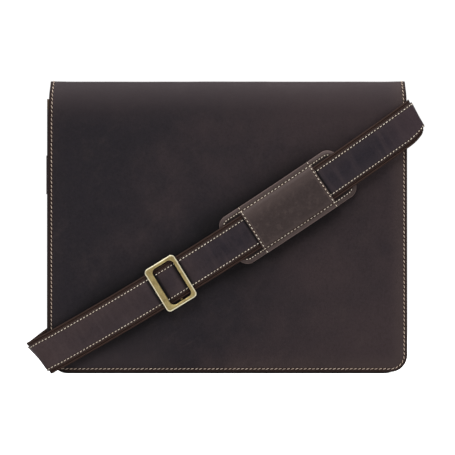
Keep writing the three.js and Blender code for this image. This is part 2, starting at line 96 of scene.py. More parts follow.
# Soft hollows: depth, distance apart and seed. The flap's wide ones are drawn out over the top.
HOLLOWS = Sizes(flap_wide=(0.22, 75, 3.1), flap_small=(0.12, 28, 8.7), panel=(0.18, 60, 5.3),
                facing=(0.08, 14, 2.4), pad=(0.18, 16, 6.2), bridge=(0.15, 20, 4.4))
OVER_TOP = (1, 0.3, 1)
# Distances from an edge between which they set in.
SET_IN = Sizes(flap=(0, 25), panel=(6, 40), facing=(0.5, 6), pad=(1, 6), bridge=(1, 8))
# The flap is narrower along its crest. The strap's lower edge is drawn up and in at the right side.
CREST = Sizes(start=292, narrowing=1.2)
CORNER = Sizes(facing=0.6, below_top=60, reach=22, drawn_up=5, draw=(0.1, 1.1), curl=2.5,
               turn=(0.7, 1.15))
# The pad: height of its rim, its rolled edge, how far it is sewn down, and its fuller bare ends.
PUFF = Sizes(rim=1.5, below=1.4, less=1.7, roll=4.2, sewn_down=0.9, sewn_reach=(3, 16), bare=(-2, 4),
             bare_share=0.6, bare_rise=0.5, beside=(18, 24), fill=0.7)
# The slider's edge: rows of inset, height over the underside and share of rubbing with painted
# highlight. The window's edge has less of it.
SLIDER_EDGE = [(0.35, 0, 0), (0, 0.45, 0.2), (0, 1.7, 0.8), (0.12, 2.15, 1), (0.4, 2.46, 1),
               (0.8, 2.6, 1), (1.2, 2.57, 0.7), (1.6, 2.48, 0)]
LUG = Sizes(below_bar=1, into_plate=0.6)
TAB_FOLD = Sizes(start=1, neck=4, neck_out=0.9, pressed=0.12)
BRIDGE_SOFT = 0.8
# Shares of rubbing with painted highlight on the slider's window, its bars and the rings.
WINDOW_RUB_AND_HIGHLIGHT = 0.3
BAR_RUB_AND_HIGHLIGHT = 0.2
RING_RUB_AND_HIGHLIGHT = 0.6

# Shade on the flap beside the strap, by the strap's x: rows of x and depth, and of x and reach.
SHADE_DEPTH = [(-165, 0.45), (-125, 0.75), (80, 0.75), (150, 0.05)]
SHADE_REACH = [(-160, 8), (-110, 15)]
SHADE_POWER = 1.6
SHADE_PAD_HALF = 63.4
# Shade on the strap under what crosses it: rows of distance from its middle, and reach.
SLIDER_SHADE = [(-SLIDER.length / 2, 3), (SLIDER.wide_bar - SLIDER.length / 2, 4.2),
                (SLIDER.length / 2 - SLIDER.thin_bar, 4.6), (SLIDER.length / 2, 3)]
BRIDGE_SHADE = [(-BRIDGE.length / 2, 2.4), (BRIDGE.length / 2, 2.4)]
UNDER_SHADE = 0.97
UNDER_POWER = 4
PAD_END_SHADE = Sizes(depth=0.75, width=2)
# Paler leather, mostly painted light: rows of place and share, along z or x, or across the bridge.
# The roll's paling is painted light from above; the bridge's is a painted highlight on its ridges,
# partly pull-up.
# The strap's is partly pull-up where it bends round the fold, partly painted light. The foot's is paler
# towards the flap's lower left corner.
PALE = Sizes(roll=[(256, 0), (300, 0.65)], foot_rise=[(5, 1), (75, 0)],
             foot_side=[(-100, 0.45), (-20, 0)], strap=[(155, 0), (195, 0.7)],
             bridge=[(-21, 0.35), (-17, 0), (4, 0), (18, 0.5)])

# Places from an edge where the columns of a grid lie close together.
CLOSE = np.array([0, 0.12, 0.35, 0.7, 1.1, 1.7, 2.4, 3.1, 3.8, 4.6, 6, 8])
WEBBING_CLOSE = np.array([0, 0.15, 0.45, 0.9, 1.5])
FACING_CLOSE = np.array([0, 0.15, 0.4, 0.8, 1.4, 2.1, 2.8, 3.6, 5])
BRIDGE_CLOSE = np.array([0, 0.15, 0.4, 0.8, 1.3, 2, 2.8, 3.6, 4.3, 5.1, 6, 7, 8.2])
TAB_CLOSE = np.array([0, 0.15, 0.4, 0.8, 1.4])
# How far they go on in even steps on the pad, how many steps, and the least half width with room.
PAD_CLOSE = Sizes(ends=(14, 4), sides=(10, 2), least=12)
# Steps of the grids, points of the rows that are sewn, and where those rows start and end.
STEPS = Sizes(flap_rise=71, flap_across=84, flap_rear=8, roll=16, panel=47, panel_across=48, bend=10,
              back=25, ring_bend=5, loop=8, strap=2.5, webbing=36, facing=18, pad_along=40,
              pad_across=18, bridge_along=32, bridge_across=16, arc=8, ring_arc=7, ring_round=14,
              bar_round=20, tab=0.8, tab_across=14, tab_eye=20, tab_under=6, shade=160)
GUSSET_STEPS = Sizes(side=60, corner=14, base=26, bend=6, flange=4, span=10)
ROW = Sizes(hem=40, side=70, corner=12, across=60, pad_end=12, pad_corner=10, tab=12)
ROW_ENDS = Sizes(middle=2, flap_flat=150, flap_side=2, rear_side=12, rear_rise=14, panel_top=4,
                 panel_side=2, panel_flat=30, strap=2, pad=1, bridge=1.5, tab=3)
# From column to column of the gusset's flanges.
FLANGE_STEP = 1.6
# A direction that no bar has.
NO_BAR = (0.31, 0.17, 0.93)
FORWARD = (0.0, -1.0, 0.0)
HEM_OUT = (0.0, -1.0, 0.03)


# Arrays of points, tables and easing

def chain(*parts):
    return np.concatenate(parts)


def points(x, y, z):
    return np.stack(np.broadcast_arrays(x, y, z), axis=-1).astype(float)


def unit(vectors):
    return vectors / np.linalg.norm(vectors, axis=-1, keepdims=True)


def turns(first, last, steps):
    return np.radians(np.linspace(first, last, steps + 1))


def quarter(steps):
    """A quarter turn as what its cosine and its sine are short of 1."""
    turn = turns(0, 90, steps)
    return 1 - np.cos(turn), 1 - np.sin(turn)


def smooth(value, low, high):
    share = np.clip((np.asarray(value, float) - low) / (high - low), 0, 1)
    return share * share * (3 - 2 * share)


def eased(table, place):
    """A value read from a table, with an eased step from each row to the next."""
    value = np.full(np.shape(place), float(table[0][1]))
    for (low, start), (high, end) in zip(table, table[1:]):
        value = value + (end - start) * smooth(place, low, high)
    return value


def swell(spots, depth, size, seed):
    """A soft unevenness of that depth either way, with hollows about that size apart."""
    flat = spots.reshape(-1, 3) / size + seed
    return depth * np.array([noise.noise(Vector(p)) for p in flat]).reshape(spots.shape[:-1])


def hollows(spots, depth, size, seed):
    return depth + swell(spots, depth, size, seed)


def from_edge_to(reach, steps):
    """Places from an edge to a far end: the close ones first, then even steps."""
    return chain(CLOSE, np.linspace(CLOSE[-1], reach, steps + 1)[1:])


def spread(half, close, steps):
    """Places from one edge of a grid to the other: close together by both edges, even between them."""
    inner = np.linspace(close[-1] - half, half - close[-1], steps + 1)[1:-1]
    return chain(close - half, inner, (half - close)[::-1])


# The body's faces

def front_y(x, z):
    rise = np.asarray(z) / ROLL_Z
    lean = FRONT.bottom_y + (FRONT.top_y - FRONT.bottom_y) * rise
    sideways = 1 - np.minimum(1, np.abs(x) / FRONT.crown_half) ** FRONT.crown_power
    return lean - FRONT.crown * np.sin(np.pi * np.clip(rise, 0, 1)) * sideways


def front_panel_y(x, z):
    return front_y(x, z) + FLAP.leather + FLAP.over_panel


def back_panel_y(x, z):
    return np.full(np.broadcast(x, z).shape, float(BODY.back_y))


def rounded_half(half, corner, height):
    below = np.maximum(0, corner - height)
    return half - corner + np.sqrt(corner * corner - below * below)


def border_distance(x, height, half, corner):
    """How far a point of a panel with rounded bottom corners lies from its edge."""
    past = np.abs(x) - (half - corner)
    in_corner = (past > 0) & (height < corner)
    from_arc = corner - np.hypot(past, corner - height)
    return np.maximum(0, np.where(in_corner, from_arc, np.minimum(half - np.abs(x), height)))


def half_border(half, corner, inset, side, base, steps):
    """The right half of a border with a rounded bottom corner, from its side to its base: x and z."""
    arc, (rise, run) = corner - inset, quarter(steps)
    x = chain(0 * side + half - inset, half - inset - arc * rise, base)
    z = chain(side, inset + arc * run, 0 * base + inset)
    return x, z


# The strap's front run

def run_z(x):
    (left_x, left_z), (right_x, right_z) = RUN.left, RUN.right
    chord = left_z + (right_z - left_z) * (x - left_x) / (right_x - left_x)
    return chord - RUN.sag * (x - left_x) * (right_x - x)


def run_slope(x):
    return np.arctan(run_z(x + 0.5) - run_z(x - 0.5))


def on_run(x, across, lift):
    slope = run_slope(x)
    px = x - across * np.sin(slope)
    pz = run_z(x) + across * np.cos(slope)
    return points(px, front_y(px, pz) - lift, pz)


def run_stations(x, lift):
    aside = WEBBING.width / 4
    return on_run(x, 0, lift), unit(on_run(x, aside, lift) - on_run(x, -aside, lift))


def stretch_stations(stretches, table):
    x = chain(*(np.linspace(first, last, steps + 1) for first, last, steps in stretches))
    return run_stations(x, eased(table, x))


def level(at):
    return at, np.tile([0.0, 0.0, 1.0], (len(at), 1))


def fold_stations(fold, lift):
    """Stations round a leaning fold, front to back. They climb along its axis in the front bend."""
    lean = math.radians(fold.lean)
    axis = np.array([-math.sin(lean), 0, math.cos(lean)])
    out = np.array([math.cos(lean), 0, math.sin(lean)]) * fold.side
    climb = math.tan(fold.side * (run_slope(fold.end[0]) - lean))
    cross = axis[0] * fold.end[0] + axis[2] * fold.end[1]
    first_y = front_y(*fold.end) - fold.front_lift - lift
    last_y = BODY.back_y + fold.back_lift + lift
    front, back, reach = fold.front_bend + lift, fold.back_bend + lift, fold.reach + lift
    rise, run = quarter(STEPS.bend)
    far = chain(reach - front * run, [reach], reach - back * rise)
    y = chain(first_y + front * rise, [(first_y + last_y) / 2], last_y - back * run)
    bent = chain(turns(0, 90, STEPS.bend), np.full(len(rise) + 1, math.pi / 2))
    at = np.outer(cross + climb * (front * bent - fold.front_bend), axis) + np.outer(far, out)
    at[:, 1] = y
    return at, unit(axis - np.outer(climb * np.cos(bent), out))


def back_stations(start, up, edge_x, lift):
    """Stations of a back run, which eases from the lean of a fold to level at a ring."""
    climb = RING.middle_z - start[2]
    steep = abs(up[0] / up[2])
    power = steep * abs(edge_x - start[0]) / abs(climb)
    left = 1 - np.linspace(0, 1, STEPS.back)[1:-1]
    x = edge_x + (start[0] - edge_x) * left
    slope = np.arctan(steep * left ** (power - 1))
    at = points(x, BODY.back_y + lift(x), RING.middle_z - climb * left ** power)
    return at, points(-np.sin(slope), 0, np.cos(slope))


def rim_x(side):
    return BODY.middle + side * (BODY.half + RIM.clear)


def ring_x(side):
    return BODY.middle + side * (BODY.half - GUSSET.inset + GAP + TAB_EYE)


def ring_stations(side):
    """Stations from the back panel's edge, over the rim, round the ring's bar, to the sewn end."""
    (rise, run), loop = quarter(STEPS.ring_bend), turns(0, 180, STEPS.loop)
    x = chain(rim_x(side) - side * RIM.bend * run, [rim_x(side)],
              ring_x(side) + side * RING_WRAP * np.cos(loop), [ring_x(side) - side * RING_WRAP])
    y = chain(BODY.back_y + RIM.clear - RIM.bend * rise, [BODY.back_y - BODY.panel - GUSSET.leather],
              STRAP_BAR_Y - RING_WRAP * np.sin(loop), [STRAP_BAR_Y + RING.sewn])
    return level(points(x, y, RING.middle_z))


def slider_loop_stations():
    """Stations of the sewn loop round the slider's centre bar, from its end under the strap."""
    shrink = math.cos(run_slope(SLIDER.x))
    wrap = SLIDER.bar_radius + GAP
    loop = turns(-90, 90, STEPS.loop)
    along = chain([-SLIDER.sewn_loop, -SLIDER.sewn_loop / 2], wrap * np.cos(loop))
    lift = SLIDER.bar_height + chain([-wrap, -wrap], wrap * np.sin(loop))
    return run_stations(SLIDER.x + (SLIDER_BAR + along) * shrink, lift)


def joined(*stretches):
    """Stretches of stations as one strap."""
    return [chain(*values) for values in zip(*stretches)]


def backwards(stations):
    return stations[0][::-1], stations[1][::-1]


def fine(stations, step):
    """Stations close together on the smooth curve through the given ones: place, up and outward."""
    at, up = stations
    s = chain([0], np.cumsum(np.linalg.norm(np.diff(at, axis=0), axis=1)))
    counts = [max(2, math.ceil(length / step)) for length in np.diff(s)]
    pieces = [np.linspace(a, b, count, endpoint=False) for a, b, count in zip(s, s[1:], counts)]
    t = chain(*pieces, s[-1:])
    i = np.clip(np.searchsorted(s, t, side="right") - 1, 0, len(s) - 2)
    h = (s[i + 1] - s[i])[:, None]
    q = (t - s[i])[:, None] / h

    def through(values):
        slope = np.gradient(values, s, axis=0)
        start = (1 + 2 * q) * (1 - q) ** 2 * values[i] + q * (1 - q) ** 2 * h * slope[i]
        return start + q * q * (3 - 2 * q) * values[i + 1] + q * q * (q - 1) * h * slope[i + 1]

    place, upper = through(at), unit(through(up))
    outward = unit(np.cross(upper, np.gradient(place, t, axis=0)))
    return Sizes(at=place, up=upper, out=outward, along=t)


def part_of(stations, start, end):
    return Sizes(**{name: values[start:end] for name, values in vars(stations).items()})


def clear_of_rings(at):
    return np.abs(at[:, 0] - BODY.middle) < BODY.half - FACING.ring_margin


def long_strap():
    """The whole strap from the left ring to its tail, and the part that its facing lies on."""
    upper = backwards(fold_stations(RIGHT_FOLD, 0))
    ring = backwards(ring_stations(-1))
    back = backwards(back_stations(upper[0][0], upper[1][0], rim_x(-1) + RIM.bend,
                                   lambda x: eased(BACK_LIFT, x)))
    lower = fold_stations(LEFT_FOLD, LAYERS + GAP)
    tail = back_stations(lower[0][-1], lower[1][-1], rim_x(1), lambda x: LAYERS + GAP + RIM.clear)
    ends = tail[0][:, 0] < TAIL_END_X
    whole = fine(joined(ring, back, upper, stretch_stations(LONG_STEPS, LONG_LIFT), lower,
                        (tail[0][ends], tail[1][ends])), STEPS.strap)
    behind = np.flatnonzero(clear_of_rings(whole.at) & (whole.at[:, 1] > BODY.back_y))
    return whole, part_of(whole, behind[0], None)


def short_strap():
    """The whole strap from the slider to the right ring, and the part that its facing lies on."""
    lower = fold_stations(LEFT_FOLD, 0)
    back = back_stations(lower[0][-1], lower[1][-1], rim_x(1) - RIM.bend, lambda x: RIM.clear)
    whole = fine(joined(slider_loop_stations(), stretch_stations(SHORT_STEPS, SHORT_LIFT), lower, back,
                        ring_stations(1)), STEPS.strap)
    start = np.flatnonzero(whole.at[:, 0] < SLIDER.x - FACING.slider_margin)[0]
    end = np.flatnonzero(clear_of_rings(whole.at) & (whole.at[:, 1] > BODY.back_y))[-1]
    return whole, part_of(whole, start, end)


# Node trees: sockets in expressions, and one way to add any other node

def arithmetic(operation):
    return lambda value, other: value.math(operation, value, other)


class Value:
    """A socket in an expression. Arithmetic on it adds Math nodes."""

    def __init__(self, graph, socket):
        self.graph = graph
        self.socket = socket

    def out(self, name):
        return Value(self.graph, self.socket.node.outputs[name])

    def math(self, operation, *values):
        return self.graph.add("ShaderNodeMath", dict(enumerate(values)), operation=operation)

    __add__ = __radd__ = arithmetic("ADD")
    __mul__ = __rmul__ = arithmetic("MULTIPLY")
    __sub__ = arithmetic("SUBTRACT")

    def __rsub__(self, other):
        return self.math("SUBTRACT", other, self)

    def wave(self, length):
        """A sine from 0 to 1 along this value, with that wavelength."""
        return self.math("SINE", self * (2 * math.pi / length)) * 0.5 + 0.5

    def ramp(self, low, high):
        """0 below low, 1 above high, eased between them."""
        edges = {"Value": self, "From Min": low, "From Max": high}
        return self.graph.add("ShaderNodeMapRange", edges, interpolation_type="SMOOTHSTEP")


class Graph:
    """A node tree that is being built."""

    def __init__(self, tree):
        self.tree = tree

    def add(self, kind, sockets=None, output=0, **settings):
        node = self.tree.nodes.new(kind)
        for name, value in settings.items():
            setattr(node, name, value)
        for key, value in (sockets or {}).items():
            if isinstance(value, Value):
                self.tree.links.new(value.socket, node.inputs[key])
            else:
                node.inputs[key].default_value = value
        return Value(self, node.outputs[output]) if node.outputs else None

    def noise(self, where, size, detail=3.0, roughness=0.55):
        """Noise from 0 to 1 with spots of that size in millimetres."""
        scale = 1 / (size * MM)
        sockets = {"Vector": where, "Scale": scale, "Detail": detail, "Roughness": roughness}
        return self.add("ShaderNodeTexNoise", sockets)

    def layered(self, tone, *layers):
        """A tone with others over it, each layer given as its share and its tone."""
        for share, over in layers:
            tone = self.add("ShaderNodeMix", {0: share, 6: tone, 7: over}, 2, data_type="RGBA")
        return tone

    def stretched(self, where, x, y, z, turn=0.0):
        """Coordinates turned about the Y axis, then drawn out by a length along each axis."""
        sockets = {"Vector": where, "Rotation": (0, turn, 0), "Scale": (x, y, z)}
        return self.add("ShaderNodeMapping", sockets, vector_type="TEXTURE")

    def mark(self, name):
        return self.add("ShaderNodeAttribute", attribute_name=name).out("Fac")

    def surface(self, material, tone, rough, height, depth, sockets):
        """The finished surface: a Principled shader over a bump of that depth in millimetres."""
        bump = self.add("ShaderNodeBump", {"Height": height, "Distance": depth * MM, "Strength": 1.0})
        sockets = {"Base Color": tone, "Roughness": rough, "Normal": bump, **sockets}
        shader = self.add("ShaderNodeBsdfPrincipled", sockets)
        self.add("ShaderNodeOutputMaterial", {"Surface": shader})
        return material


# Finishes

def srgb(*colour):
    linear = [((c / 255 + 0.055) / 1.055) ** 2.4 if c > 10 else c / 3295 for c in colour]
    return (*linear, 1.0)


BLACK = srgb(6, 5, 6)
FLESH = srgb(92, 76, 62)
SEWN = srgb(50, 34, 24)
SELVEDGE = srgb(58, 43, 38)
STRAP_TURN = math.radians(-32)
# Sizes of the weave. The last band, by the facing's edges, is painted shadow.
WEAVE = Sizes(yarn=1.2, cord=2.1, shift=0.08, selvedge=(19.4, 20.2), crease=(16.9, 16.2))


def fresh_tree(owner):
    owner.use_nodes = True
    owner.node_tree.nodes.clear()
    return Graph(owner.node_tree)


def fresh_material(name):
    """A new material, its node tree, and the place on the object that its patterns follow."""
    material = bpy.data.materials.new(name)
    g = fresh_tree(material)
    return material, g, g.add("ShaderNodeTexCoord").out("Object")


def leather(name, cool, warm, worn_and_highlit, edge_tone_and_highlight, bent=srgb(62, 53, 55), towards=1, depth=0.22, mottle=0.1,
            creases=0.0, border=(16, 3, 0.16, 0.16), cut_border=(1.3, 0.1, 0.4)):
    """Oiled leather: patches, rubs, specks and creases, with tones by its sewn rows and edges, a paler
    tone that is mostly painted light, and painted shade.

    It is warmer towards +X or -X. Its borders are far and near distances from the edge, then shares.
    """
    material, g, where = fresh_material(name)
    axes = g.add("ShaderNodeSeparateXYZ", {0: where})
    clouds = g.noise(where, 110, 3)
    patches = g.noise(where, 32, 3)
    rubs = g.noise(g.stretched(where, 1, 1, 1.6, 0.6), 20, 6, 0.62)
    mottled = g.noise(where, 6, 5, 0.68)
    specks = g.noise(where, 2.6, 4, 0.7)
    pores = g.noise(where, 0.8, 2)
    scuffs = g.noise(g.stretched(where, 6, 1, 1, -0.5), 5, 3, 0.6)
    crossing = g.noise(g.stretched(where, 1, 1, 8, STRAP_TURN), 7, 2)
    uneven = (clouds - 0.5) * 0.58 + (patches - 0.5) * 0.24
    warmth = (axes.out("X") * towards + uneven).ramp(-0.15, 0.24)
    from_edge, flesh = g.mark("edge_mm"), g.mark("flesh")
    far, near, cool_share, warm_share = border
    rubbed_and_highlit = from_edge.ramp(far, near) * (warmth * (warm_share - cool_share) + cool_share)
    far, near, share = cut_border
    raw_edge_and_highlight = from_edge.ramp(far, near) * (specks * 0.3 + share)
    tone = g.layered(
        cool, (warmth, warm),
        (rubs.ramp(0.5, 0.8) * 0.2, worn_and_highlit),
        (mottled.ramp(0.45, 0.75) * mottle, worn_and_highlit),
        (crossing.ramp(0.45, 0.7) * creases, worn_and_highlit),
        (scuffs.ramp(0.62, 0.8) * specks * 0.35, worn_and_highlit),
        (specks.ramp(0.4, 0.75) * 0.22, BLACK),
        # The bent tone is mostly painted light, partly pull-up where the strap and the bridge bend. On
        # the pad the pale border and edge are partly rubbing, partly painted highlight.
        (g.mark("bent"), bent), (rubbed_and_highlit, worn_and_highlit), (raw_edge_and_highlight, edge_tone_and_highlight),
        (flesh * (pores * 0.4 + 0.55), FLESH),
        (g.mark("seam") * 0.85, SEWN), (g.mark("shade"), BLACK))
    rough = 0.6 - rubs.ramp(0.45, 0.8) * 0.1 + specks * 0.12 + flesh * 0.25
    height = pores * 0.5 + specks * 0.5 + rubs * 0.3 + mottled * mottle
    return g.surface(material, tone, rough, height, depth, {"Specular IOR Level": 0.14})


def woven(name, dark, light):
    """Ribbed webbing: lengthwise cords crossed by finer yarns, by its own map in metres."""
    material, g, where = fresh_material(name)
    place = g.add("ShaderNodeSeparateXYZ", {0: g.add("ShaderNodeUVMap", uv_map="weave")})
    along, across = place.out("X") * 1000, place.out("Y") * 1000
    yarns = along.wave(WEAVE.yarn)
    aside = across.math("ABSOLUTE", across)
    cords = (aside + yarns * 0.2 - WEAVE.shift).wave(WEAVE.cord)
    fuzz = g.noise(where, 0.7, 3)
    fade = g.noise(where, 18, 4)
    weave = yarns * 0.15 + cords * 0.85
    tone = g.layered(
        dark, (weave * 0.85 + fade * 0.15, light),
        (aside.ramp(*WEAVE.selvedge) * (fade * 0.6 + 0.2), SELVEDGE),
        # Painted shadow beside the leather facing's edges.
        (aside.ramp(*WEAVE.crease) * g.mark("faced") * 0.85, BLACK))
    rough, height = 0.82 + fuzz * 0.12, weave + fuzz * 0.35
    return g.surface(material, tone, rough, height, 0.32, {"Specular IOR Level": 0.2})


def sewing(name, pale, shade):
    """Waxed thread with a faint twist, soiled in places."""
    material, g, where = fresh_material(name)
    axes = g.add("ShaderNodeSeparateXYZ", {0: where})
    twist = ((axes.out("X") + axes.out("Z") * 0.7) * 1000).wave(0.42)
    soil = g.noise(where, 9, 4)
    tone = g.layered(pale, (soil.ramp(0.35, 0.75) * 0.6, shade), (twist * 0.25, shade))
    return g.surface(material, tone, 0.62 + soil * 0.1, twist, 0.08, {"Specular IOR Level": 0.3})


def antique_brass(name, pale, dull, rim):
    """Antique brass: brushed and dull on its faces, with rubbing along its rims and a pale, less
    metallic painted highlight there.
    """
    material, g, where = fresh_material(name)
    brushed = g.noise(g.stretched(where, 1, 1, 8, STRAP_TURN), 0.8, 3)
    tarnish = g.noise(where, 5, 5, 0.65)
    rim_rub_and_highlight = g.mark("rim").ramp(0.25, 0.9)
    tone = g.layered(pale, (tarnish.ramp(0.4, 0.72) * 0.6, dull), (brushed * 0.25, dull),
                     (rim_rub_and_highlight * 0.85, rim))
    rough = 0.36 + tarnish * 0.18 - rim_rub_and_highlight * 0.14
    height = brushed * 0.6 + tarnish * 0.4
    return g.surface(material, tone, rough, height, 0.05, {"Metallic": 1 - rim_rub_and_highlight * 0.5})


FINISHES = {
    "flap_leather": (leather, dict(
        cool=srgb(37, 33, 38), warm=srgb(60, 49, 51), worn_and_highlit=srgb(74, 62, 60), edge_tone_and_highlight=srgb(42, 29, 25),
        border=(22, 3, 0.06, 0.55), cut_border=(3.0, 1.6, 0.75))),
    "body_leather": (leather, dict(
        cool=srgb(42, 37, 40), warm=srgb(56, 46, 46), worn_and_highlit=srgb(76, 64, 60), edge_tone_and_highlight=srgb(48, 37, 33))),
    "strap_leather": (leather, dict(
        cool=srgb(41, 36, 43), warm=srgb(68, 55, 55), worn_and_highlit=srgb(76, 64, 66), edge_tone_and_highlight=srgb(80, 64, 56),
        bent=srgb(66, 53, 57), towards=-1, creases=0.3)),
    # The pad's pale edge, border and bent tones are partly rubbing and pull-up, partly painted
    # highlight.
    "pad_leather": (leather, dict(
        cool=srgb(62, 52, 51), warm=srgb(66, 55, 53), worn_and_highlit=srgb(90, 77, 74), edge_tone_and_highlight=srgb(122, 104, 100),
        bent=srgb(92, 79, 76), towards=-1, depth=0.3, mottle=0.5, border=(4.6, 3.2, 0.5, 0.5))),
    "webbing": (woven, dict(dark=srgb(10, 6, 5), light=srgb(72, 52, 45))),
    "tan_thread": (sewing, dict(pale=srgb(236, 216, 198), shade=srgb(187, 159, 138))),
    "cream_thread": (sewing, dict(pale=srgb(255, 246, 229), shade=srgb(232, 210, 180))),
    # The rim tone is a painted highlight over the brass's rubbing along its rims.
    "antique_brass": (antique_brass, dict(
        pale=srgb(200, 182, 126), dull=srgb(142, 120, 78), rim=srgb(252, 244, 212))),
}
MATERIAL = {slot: make(slot, **tones) for slot, (make, tones) in FINISHES.items()}


# Meshes

def new_object(name, data):
    made = bpy.data.objects.new(name, data)
    bpy.context.scene.collection.objects.link(made)
    return made


def set_mark(mesh, name, kind, field, values):
    data = mesh.attributes.new(name, kind, "POINT").data
    data.foreach_set(field, np.asarray(values, np.float32).ravel())


def place_piece(name, slot, nodes, spots, faces, marks, weave=None):
    """A smooth piece in metres from points in millimetres, with its faces turned outwards."""
    mesh = bpy.data.meshes.new(name)
    corners = spots[np.asarray([face[:3] for face in faces])]
    volume = np.einsum("ij,ij->i", corners[:, 0], np.cross(corners[:, 1], corners[:, 2])).sum()
    turned = [face[::-1] for face in faces] if volume < 0 else faces
    mesh.from_pydata((spots * MM).tolist(), [], turned)
    for mark, values in marks.items():
        set_mark(mesh, mark, "FLOAT", "value", values)
    if weave is not None:
        corner_spots = np.empty(len(mesh.loops), np.int32)
        mesh.loops.foreach_get("vertex_index", corner_spots)
        uv = mesh.uv_layers.new(name="weave")
        uv.data.foreach_set("uv", (weave[corner_spots] * MM).astype(np.float32).ravel())
    mesh.materials.append(MATERIAL[slot])
    mesh.shade_smooth()
    piece = new_object(name, mesh)
    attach(piece, "root")
    if nodes:
        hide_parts(*nodes)
    return piece


def quads(index):
    """Faces between the rows and columns of a grid of point numbers."""
    corners = [index[:-1, :-1], index[:-1, 1:], index[1:, 1:], index[1:, :-1]]
    return np.stack(corners, axis=-1).reshape(-1, 4)


def sheet(node, made_of, slot, outer, inner, weave=None, **marks):
    """A closed sheet between two grids of points, with marks. Its inner face is the flesh side."""
    rows, columns = outer.shape[:2]
    index = np.arange(rows * columns).reshape(rows, columns)
    face = quads(index)
    border = chain(index[0, :-1], index[:-1, -1], index[-1, :0:-1], index[:0:-1, 0])
    ahead = np.roll(border, -1)
    offset = rows * columns
    walls = np.stack([border, border + offset, ahead + offset, ahead], axis=-1)
    faces = chain(face, face[:, ::-1] + offset, walls).tolist()
    spots = chain(outer.reshape(-1, 3), inner.reshape(-1, 3))
    both = None if weave is None else np.tile(weave.reshape(-1, 2), (2, 1))
    named = {"flesh": np.repeat([0.0, 1.0], offset)}
    for mark, values in marks.items():
        named[mark] = np.tile(np.broadcast_to(values, (rows, columns)).ravel(), 2)
    return place_piece(f"{node}_{made_of}", slot, [node], spots, faces, named, both)


def rounding(distance, radius):
    """How far the face of a sheet drops towards its rounded edge."""
    short = 1 - np.clip(distance / radius, 0, 1)
    return radius * (1 - np.sqrt(1 - short * short))


def sewn(distance, row):
    """1 on a row of stitches at that distance, fading to 0 beside it."""
    return np.exp(-(((distance - row) / THREAD.groove_width) ** 2))


def stitch_tree():
    """A row of stitches along each line of a mesh, lying on the face that the line's 'out' names."""
    tree = bpy.data.node_groups.new("stitch_row", "GeometryNodeTree")
    for name, kind in [("Row", "Geometry"), ("Pitch", "Float"), ("Length", "Float"), ("Width", "Float"),
                       ("Slant", "Float"), ("Thread", "Material")]:
        tree.interface.new_socket(name, in_out="INPUT", socket_type=f"NodeSocket{kind}")
    tree.interface.new_socket("Stitches", in_out="OUTPUT", socket_type="NodeSocketGeometry")
    g = Graph(tree)
    row = g.add("NodeGroupInput")
    line = g.add("GeometryNodeMeshToCurve", {"Mesh": row})
    holes = g.add("GeometryNodeCurveToPoints", {"Curve": line, "Length": row.out("Pitch")},
                  mode="LENGTH")
    out = g.add("GeometryNodeInputNamedAttribute", {"Name": "out"}, data_type="FLOAT_VECTOR")
    ahead = g.add("FunctionNodeAlignRotationToVector", {"Vector": holes.out("Tangent")}, axis="X")
    lying = g.add("FunctionNodeAlignRotationToVector", {"Rotation": ahead, "Vector": out},
                  axis="Z", pivot_axis="X")
    uneven = g.add("FunctionNodeRandomValue", {2: -THREAD.uneven, 3: THREAD.uneven, "Seed": 7}, 1,
                   data_type="FLOAT")
    angle = row.out("Slant") + uneven
    turn = g.add("FunctionNodeAxisAngleToRotation", {"Axis": (0, 0, 1), "Angle": angle})
    slanted = g.add("FunctionNodeRotateRotation", {"Rotation": lying, "Rotate By": turn},
                    rotation_space="LOCAL")
    bead = g.add("GeometryNodeMeshUVSphere", {"Segments": 8, "Rings": 7, "Radius": 0.5})
    soft = g.add("GeometryNodeSetShadeSmooth", {"Geometry": bead})
    width = row.out("Width")
    size = g.add("ShaderNodeCombineXYZ", {0: row.out("Length"), 1: width, 2: width})
    stitches = g.add("GeometryNodeInstanceOnPoints",
                     {"Points": holes, "Instance": soft, "Rotation": slanted, "Scale": size})
    real = g.add("GeometryNodeRealizeInstances", {"Geometry": stitches})
    dyed = g.add("GeometryNodeSetMaterial", {"Geometry": real, "Material": row.out("Thread")})
    g.add("NodeGroupOutput", {"Stitches": dyed})
    return tree


STITCH_ROW = stitch_tree()


def sew(name, rows, thread="tan_thread", pitch=SEAM.flap_pitch, slant=THREAD.slant,
        length=THREAD.length):
    """Stitches along rows of points, each row with one outward direction or one for each point."""
    spots = chain(*(row for row, _ in rows))
    outs = chain(*(np.broadcast_to(out, row.shape) for row, out in rows))
    ends = np.cumsum([len(row) for row, _ in rows])
    edges = [(i, i + 1) for i in range(len(spots) - 1) if i + 1 not in ends]
    mesh = bpy.data.meshes.new(name)
    mesh.from_pydata((spots * MM).tolist(), edges, [])
    set_mark(mesh, "out", "FLOAT_VECTOR", "vector", outs)
    piece = new_object(name, mesh)
    modifier = piece.modifiers.new("stitches", "NODES")
    modifier.node_group = STITCH_ROW
    values = {"Pitch": pitch * MM, "Length": length * pitch * MM, "Width": THREAD.width * MM,
              "Slant": slant, "Thread": MATERIAL[thread]}
    for item in STITCH_ROW.interface.items_tree:
        if item.name in values:
            modifier[item.identifier] = values[item.name]
    depsgraph = bpy.context.evaluated_depsgraph_get()
    made = bpy.data.meshes.new_from_object(piece.evaluated_get(depsgraph), depsgraph=depsgraph)
    piece.modifiers.clear()
    piece.data = made
    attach(piece, "root")


# The body: flap, panels and gusset

